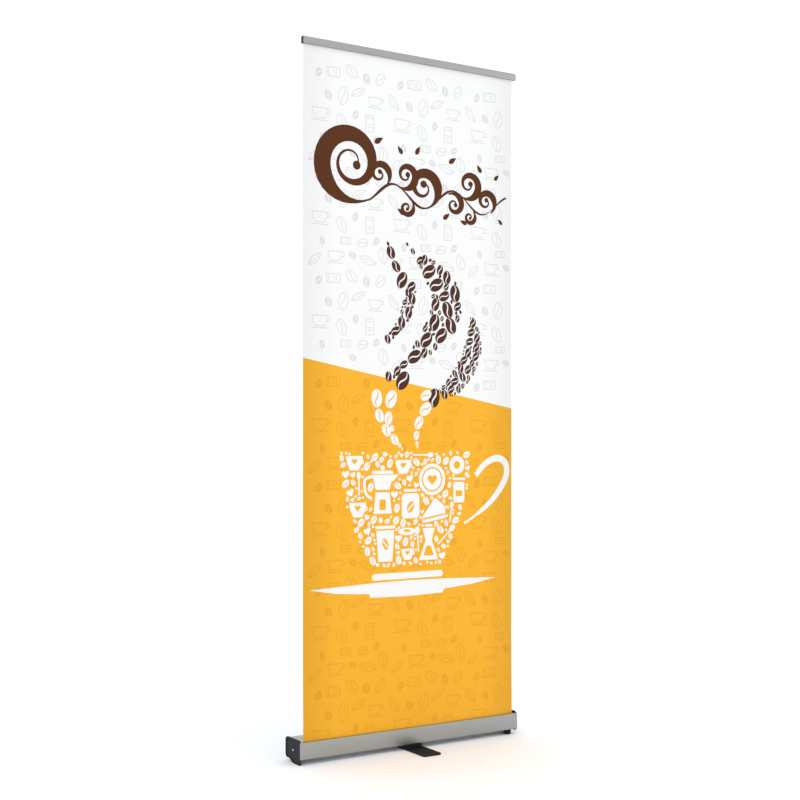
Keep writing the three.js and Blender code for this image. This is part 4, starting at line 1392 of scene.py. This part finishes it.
    def _foot(self) -> bpy.types.Object:
        """The right domed foot, with its sunk screw hole and one grip groove."""
        flat, wide, high, rise = 7.0, self.foot_radius, self.foot_height, self.foot_height - 4
        dome = [(flat + (wide - flat) * math.sin(math.pi / 2 * i / 9),
                 rise * (1 - math.cos(math.pi / 2 * i / 9))) for i in range(10)]
        groove = [(wide, high - 2.6), (wide - 0.7, high - 2.2), (wide - 0.7, high - 1.6),
                  (wide, high - 1.2)]
        foot = turned("dome_foot_right_domed", Axis.Z, self.foot_place,
                      dome + groove + [(wide, high)], 56)
        cut(foot, rod("sink", Axis.Z, self.foot_place, 5.0, -1, 6, 32),
            rod("bore", Axis.Z, self.foot_place, 2.5, -1, high + 1, 24))
        return ease(foot, 0.25, 2)


# ---------------------------------------------------------------- swivel foot

@dataclass
class SwivelFoot:
    """The bar that turns out from under the cassette: a rimmed, ribbed plate and a raised block."""

    half_width: float = 33
    half_length: float = 159
    low: float = 1                   # the underside's height, where the pads hold it up
    deck: float = 4.8                # the sunk top between the ribs
    rim_top: float = 5.8
    rim: float = 4                   # width of the rim
    ribs: int = 6
    rib_half: float = 1.2            # half a rib's width
    block_half: float = 46           # half the raised block's length
    block_top: float = 16.7
    corner: float = 6
    bolt_bore: float = 4.3
    bolt_head_bore: float = 7.3
    bolt_head_room: float = 6.3      # height of the room for the bolt's head

    def build(self) -> None:
        """Makes the bar."""
        w, length = self.half_width, self.half_length
        bar = block("swivel_bar", (-w, -length, self.low), (w, length, self.rim_top))
        round_edges(bar, self.corner, 8, lambda m, d: abs(d.z) > 0.9)
        with editing(bar):
            pick_faces(bar, lambda m, n: n.z > 0.9)
            bpy.ops.mesh.inset(thickness=self.rim * MM, depth=0)
            bpy.ops.mesh.extrude_region_move(
                TRANSFORM_OT_translate={"value": (0, 0, (self.deck - self.rim_top) * MM)})
        spacing = 2 * (w - self.rim) / (self.ribs + 1)
        ribs = []
        for i in range(self.ribs):
            x = -w + self.rim + spacing * (i + 1)
            ribs.append(block("rib", (x - self.rib_half, -length + self.rim / 2, self.low + 1),
                              (x + self.rib_half, length - self.rim / 2, self.rim_top - 0.3)))
        raised = block("raised_block", (-w, -self.block_half, self.low),
                       (w, self.block_half, self.block_top))
        round_edges(raised, 3, 5, lambda m, d: abs(d.z) > 0.9)
        weld(bar, *ribs, raised)
        cut(bar, rod("pivot_bore", Axis.Z, (0, 0), self.bolt_bore, -1, self.block_top + 1),
            rod("head_room", Axis.Z, (0, 0), self.bolt_head_bore, -1, self.bolt_head_room))
        settle(ease(bar, 0.35, 3), "foot", Finishes.MOULDED_BLACK, "swivel_foot")


# ---------------------------------------------------------------- telescopic pole

@dataclass
class Pole:
    """Three drawn tubes behind the film, a socket, two fluted twist collars and the head."""

    axis: Point = (0, POLE_Y)
    wall: float = 1.2
    socket_radius: float = 12
    socket_flange: float = 15
    socket_bore: float = 9.8
    flutes: int = 16
    flute_radius: float = 1.3
    head: Point = (2190, 2216)       # lower and upper end of its sleeve
    head_radius: float = 9.3
    head_bore: float = 6.5
    arm_half: float = 6              # half the arm's width
    arm_height: float = 10
    pin_radius: float = 3
    pin_top: float = 2235

    def build(self) -> None:
        """Makes every piece of the pole."""
        settle(self._socket(), "cassette", Finishes.MOULDED_BLACK, "pole_socket")
        for name, body in (("lower", "cassette"), ("middle", "pole_middle"), ("upper", "pole_upper")):
            settle(self._tube(name), body, Finishes.DRAWN_TUBE, f"pole_{name}")
        for name, above in (("lower", "middle"), ("middle", "upper")):
            settle(self._collar(name, above), f"{name}_collar", Finishes.MOULDED_BLACK,
                   f"lock_collar_{name}")
        settle(self._head(), "pole_upper", Finishes.MOULDED_BLACK, "pole_head")

    def _span(self, node: str) -> tuple[float, float, float]:
        """A round node's radius, lower end and upper end, in millimetres."""
        low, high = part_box(node)
        return (high[0] - low[0]) / 2 / MM, low[2] / MM, high[2] / MM

    def _tube(self, name: str) -> bpy.types.Object:
        """One drawn tube, chamfered at both ends."""
        radius, low, high = self._span(f"pole_{name}")
        tube = rod(f"drawn_tube_{name}", Axis.Z, self.axis, radius, low, high, 64)
        cut(tube, rod("bore", Axis.Z, self.axis, radius - self.wall, low - 1, high + 1, 64))
        return ease(tube, 0.25, 2)

    def _socket(self) -> bpy.types.Object:
        """The flanged cup in the cassette's roof that the pole stands in."""
        _, low, high = self._span("pole_socket")
        radius, flange = self.socket_radius, self.socket_flange
        cup = turned("pole_cup", Axis.Z, self.axis,
                     [(radius, low), (radius, high - 2), (flange, high - 2), (flange, high - 0.8),
                      (flange - 0.8, high)], 64)
        cut(cup, rod("bore", Axis.Z, self.axis, self.socket_bore, low + 2, high + 1, 64))
        return ease(cup, 0.3, 2)

    def _collar(self, name: str, above: str) -> bpy.types.Object:
        """A twist-lock collar: a fluted sleeve with a tapered throat for the next tube."""
        tube, _, tube_top = self._span(f"pole_{name}")
        throat = self._span(f"pole_{above}")[0] + CLEARANCE
        radius, low, high = self._span(f"lock_collar_{name}")
        sleeve = turned(f"twist_collar_{name}", Axis.Z, self.axis,
                        [(radius - 1, low), (radius - 0.2, low + 1), (radius, low + 2), (radius, high - 6),
                         (radius - 0.7, high - 3.4), (radius - 2, high)], 64)
        flutes = []
        out = radius + 0.5
        for i in range(self.flutes):
            turn = 2 * math.pi * i / self.flutes
            place = (out * math.cos(turn), POLE_Y + out * math.sin(turn))
            flutes.append(rod("flute", Axis.Z, place, self.flute_radius, low + 5, high - 9, 12))
        take_up(flutes[0])
        for flute in flutes:
            flute.select_set(True)
        bpy.ops.object.join()
        sleeve_bore = rod("sleeve_bore", Axis.Z, self.axis, tube + CLEARANCE, low - 1,
                          tube_top + CLEARANCE, 64)
        cut(sleeve, flutes[0], sleeve_bore,
            rod("throat", Axis.Z, self.axis, throat, low, high + 1, 64))
        return ease(sleeve, 0.25, 2)

    def _head(self) -> bpy.types.Object:
        """The head: a capped sleeve, an arm that reaches forward and the pin that carries the rail."""
        low, high = self.head
        sleeve = turned("pole_top_arm", Axis.Z, self.axis,
                        [(self.head_radius, low), (self.head_radius, high - 1.2), (8.5, high)], 56)
        arm = block("arm", (-self.arm_half, PIN_Y - self.arm_half, high - self.arm_height),
                    (self.arm_half, POLE_Y, high))
        round_edges(arm, 2.0, 4, lambda m, d: abs(d.z) > 0.9 and m.y < 0)
        pin = turned("pin", Axis.Z, (0, PIN_Y),
                     [(self.pin_radius, high - 1), (self.pin_radius, self.pin_top - 1),
                      (2.2, self.pin_top)], 32)
        weld(sleeve, arm, pin)
        cut(sleeve, rod("tube_bore", Axis.Z, self.axis, self.head_bore, low - 1, high - 2.8, 48))
        return ease(sleeve, 0.4, 2)


# ---------------------------------------------------------------- clamp rail

@dataclass
class ClampRail:
    """The rail on top: a hollow rear jaw, a hinged front jaw, two end caps and the hanger."""

    left: float = -403
    right: float = 411
    end: float = 2.5                 # from the rail's end to the jaws' end
    front: float = -48
    rear: float = -32
    low: float = 2220
    high: float = 2242
    skin: float = 1.6
    rear_jaw_front: float = -38.3
    bridge_front: float = -41.7
    heel_rear: float = -40.6         # how far back the front jaw's heel grips
    bead: Point = (-45, 2239)        # Y and Z of the hinge bead
    bead_radius: float = 3
    bead_bore: float = 1.8
    bead_bore_depth: float = 9
    hanger_low: float = 2216.3
    hanger_height: float = 18
    hanger_half: float = 15
    hanger_bore: float = 3.3

    def build(self) -> None:
        """Makes every piece of the rail."""
        settle(self._rear_jaw(), "rail", Finishes.EXTRUSION, "rail_rear_jaw")
        settle(self._front_jaw(), "rail_jaw", Finishes.EXTRUSION, "rail_front_jaw")
        for side, name in ((-1, "left"), (1, "right")):
            settle(self._cap(side, name), "rail", Finishes.MOULDED_BLACK, f"rail_cap_{name}")
        settle(self._hanger(), "rail", Finishes.MOULDED_BLACK, "rail_hanger")

    def _rear_jaw(self) -> bpy.types.Object:
        """The hollow bar behind the film, with a bridge over the top."""
        left, right, skin = self.left + self.end, self.right - self.end, self.skin
        face = self.rear_jaw_front
        jaw = block("rail_rear_bar", (left, face, self.low), (right, self.rear, self.high))
        weld(jaw, block("bridge", (left, self.bridge_front, self.high - 3),
                        (right, face + 1, self.high)))
        cut(jaw, block("hollow", (left - 1, face + skin, self.low + skin),
                       (right + 1, self.rear - skin, self.high - skin)))
        round_edges(jaw, 1.6, 4, lambda m, d: abs(d.x) > 0.9 and m.y > self.rear - 0.1)
        return ease(jaw, 0.25, 2)

    def _front_jaw(self) -> bpy.types.Object:
        """The rail's face: a flat skin with a hinge bead on top and a gripping heel below."""
        left, right = self.left + self.end, self.right - self.end
        face = block("rail_front_face", (self.left, self.front, self.low),
                     (self.right, self.front + self.skin, self.bead[1]))
        weld(face, block("heel", (left, self.front + 0.8, self.low),
                         (right, self.heel_rear, self.low + self.skin)),
             rod("bead", Axis.X, self.bead, self.bead_radius, left, right, 40))
        for start, end in ((left - 1, left + self.bead_bore_depth),
                           (right - self.bead_bore_depth, right + 1)):
            cut(face, rod("bore", Axis.X, self.bead, self.bead_bore, start, end, 24))
        return ease(face, 0.25, 2)

    def _cap(self, side: int, name: str) -> bpy.types.Object:
        """An end cap, with the pin that the front jaw turns on."""
        outer = self.left if side < 0 else self.right
        inner = outer - side * (self.end - CLEARANCE)
        start, end = sorted((inner, outer))
        cap = block(f"rail_end_{name}", (start, self.front + self.skin + CLEARANCE, self.low),
                    (end, self.rear, self.high))
        round_edges(cap, 1.6, 5, lambda m, d: abs(d.x) > 0.9)
        tip = outer - side * (self.end + 7)
        pin_start, pin_end = sorted((tip, inner + side))
        weld(cap, rod("pin", Axis.X, self.bead, self.bead_bore - CLEARANCE, pin_start, pin_end, 24))
        return ease(cap, 0.3, 2)

    def _hanger(self) -> bpy.types.Object:
        """The block behind the rail's middle that drops over the pole's pin."""
        half, low, front = self.hanger_half, self.hanger_low, self.rear + 0.3
        top = low + self.hanger_height
        hanger = block("rail_hook_block", (-half, front, low), (half, front + 12, top))
        round_edges(hanger, 2.0, 4, lambda m, d: abs(d.z) > 0.9 and m.y > self.rear + 6)
        cut(hanger, rod("pin_bore", Axis.Z, (0, PIN_Y), self.hanger_bore, low - 1, top + 1, 32))
        return ease(hanger, 0.4, 2)


# ---------------------------------------------------------------- studio

@dataclass
class Studio:
    """The pale floor, the soft lights and the camera."""

    eye: Place = (-2.302, -3.623, 1.015)   # where the camera stands, in metres
    aim: Place = (0.5324, 0.8465, 0.0)     # the level direction it looks in
    lens: float = 59.2                     # focal length in millimetres on a film 36 mm wide
    rise: float = 0.0437                   # how far the lens is shifted up, as a share of its film
    sky: float = 1.14                      # strength of the light from all round

    def build(self) -> None:
        """Sets the scene up around the stand."""
        self._floor()
        self._sky()
        self._lamp("key", (-2.6, -3.4, 3.4), aim=(0, -0.1, 1.0), size=2.4, power=14)
        self._lamp("fill", (3.4, -2.2, 2.2), aim=(0, 0, 0.9), size=2.6, power=6)
        self._camera()
        bpy.context.scene.view_settings.view_transform = "Standard"

    def _camera(self) -> None:
        """A level camera to the left of the stand, at chest height."""
        data = bpy.data.cameras.new("camera")
        data.lens, data.sensor_width, data.shift_y = self.lens, 36, self.rise
        camera = bpy.data.objects.new("camera", data)
        camera.location = self.eye
        camera.rotation_euler = Vector(self.aim).to_track_quat("-Z", "Y").to_euler()
        bpy.context.collection.objects.link(camera)
        bpy.context.scene.camera = camera

    def _lamp(self, name: str, place: Place, aim: Place, size: float, power: float) -> None:
        """A square soft light.

        Args:
            name: Its name.
            place: Where it hangs.
            aim: What it points at.
            size: Its side in metres.
            power: Its power in watts.
        """
        data = bpy.data.lights.new(name, "AREA")
        data.energy, data.size = power, size
        lamp = bpy.data.objects.new(name, data)
        lamp.location = place
        lamp.rotation_euler = (Vector(aim) - Vector(place)).to_track_quat("-Z", "Y").to_euler()
        bpy.context.collection.objects.link(lamp)

    def _floor(self) -> None:
        """A pale matt floor, a cool near-white, with a trace of mottle."""
        bpy.ops.mesh.primitive_plane_add(size=60, location=(0, 0, 0))
        floor = finished(bpy.context.object, "studio_floor")
        floor.data.materials.append(Finish(
            "painted_floor_white", "#F8FBFE", "", 0.8, specular=0.2, grain_mm=4,
            grain_height_mm=0.02, mottle_mm=900, mottle=0.01).build())

    def _sky(self) -> None:
        """Even white light from all round."""
        world = bpy.data.worlds.new("studio_white")
        world.use_nodes = True
        tree = world.node_tree
        tree.nodes.clear()
        light = add_node(tree, "ShaderNodeBackground", {"Color": (1, 1, 1, 1), "Strength": self.sky})
        add_node(tree, "ShaderNodeOutputWorld", {"Surface": light.outputs["Background"]})
        bpy.context.scene.world = world


def dress_nodes(nodes: dict[str, bpy.types.Object]) -> None:
    """Gives every CAD node that stays its procedural finish.

    Args:
        nodes: The CAD nodes by name.
    """
    worn = {
        "aluminium": Finishes.DRAWN_TUBE, "steel": Finishes.ZINC_STEEL,
        "black_plastic": Finishes.MOULDED_BLACK, "grey_plastic": Finishes.ACETAL_GREY,
        "rubber": Finishes.RUBBER, "printed_film": Finishes.FILM_BACK, "leader_film": Finishes.LEADER,
    }
    for name, node in nodes.items():
        for place in node.material_slots:
            slot = place.material.name.split(".")[0] if place.material else ""
            if slot in worn:
                place.material = worn[slot].build()
            else:
                log.warning("%s: no finish for %s", name, slot)


def main() -> None:
    """Builds the stand round its frame, then the studio."""
    logging.basicConfig(level=logging.INFO, format="%(name)s: %(message)s")
    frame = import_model()
    Studio().build()
    dress_nodes(frame["nodes"])
    Film().build()
    Cassette().build()
    SwivelFoot().build()
    Pole().build()
    ClampRail().build()


if __name__ == "__main__":
    main()
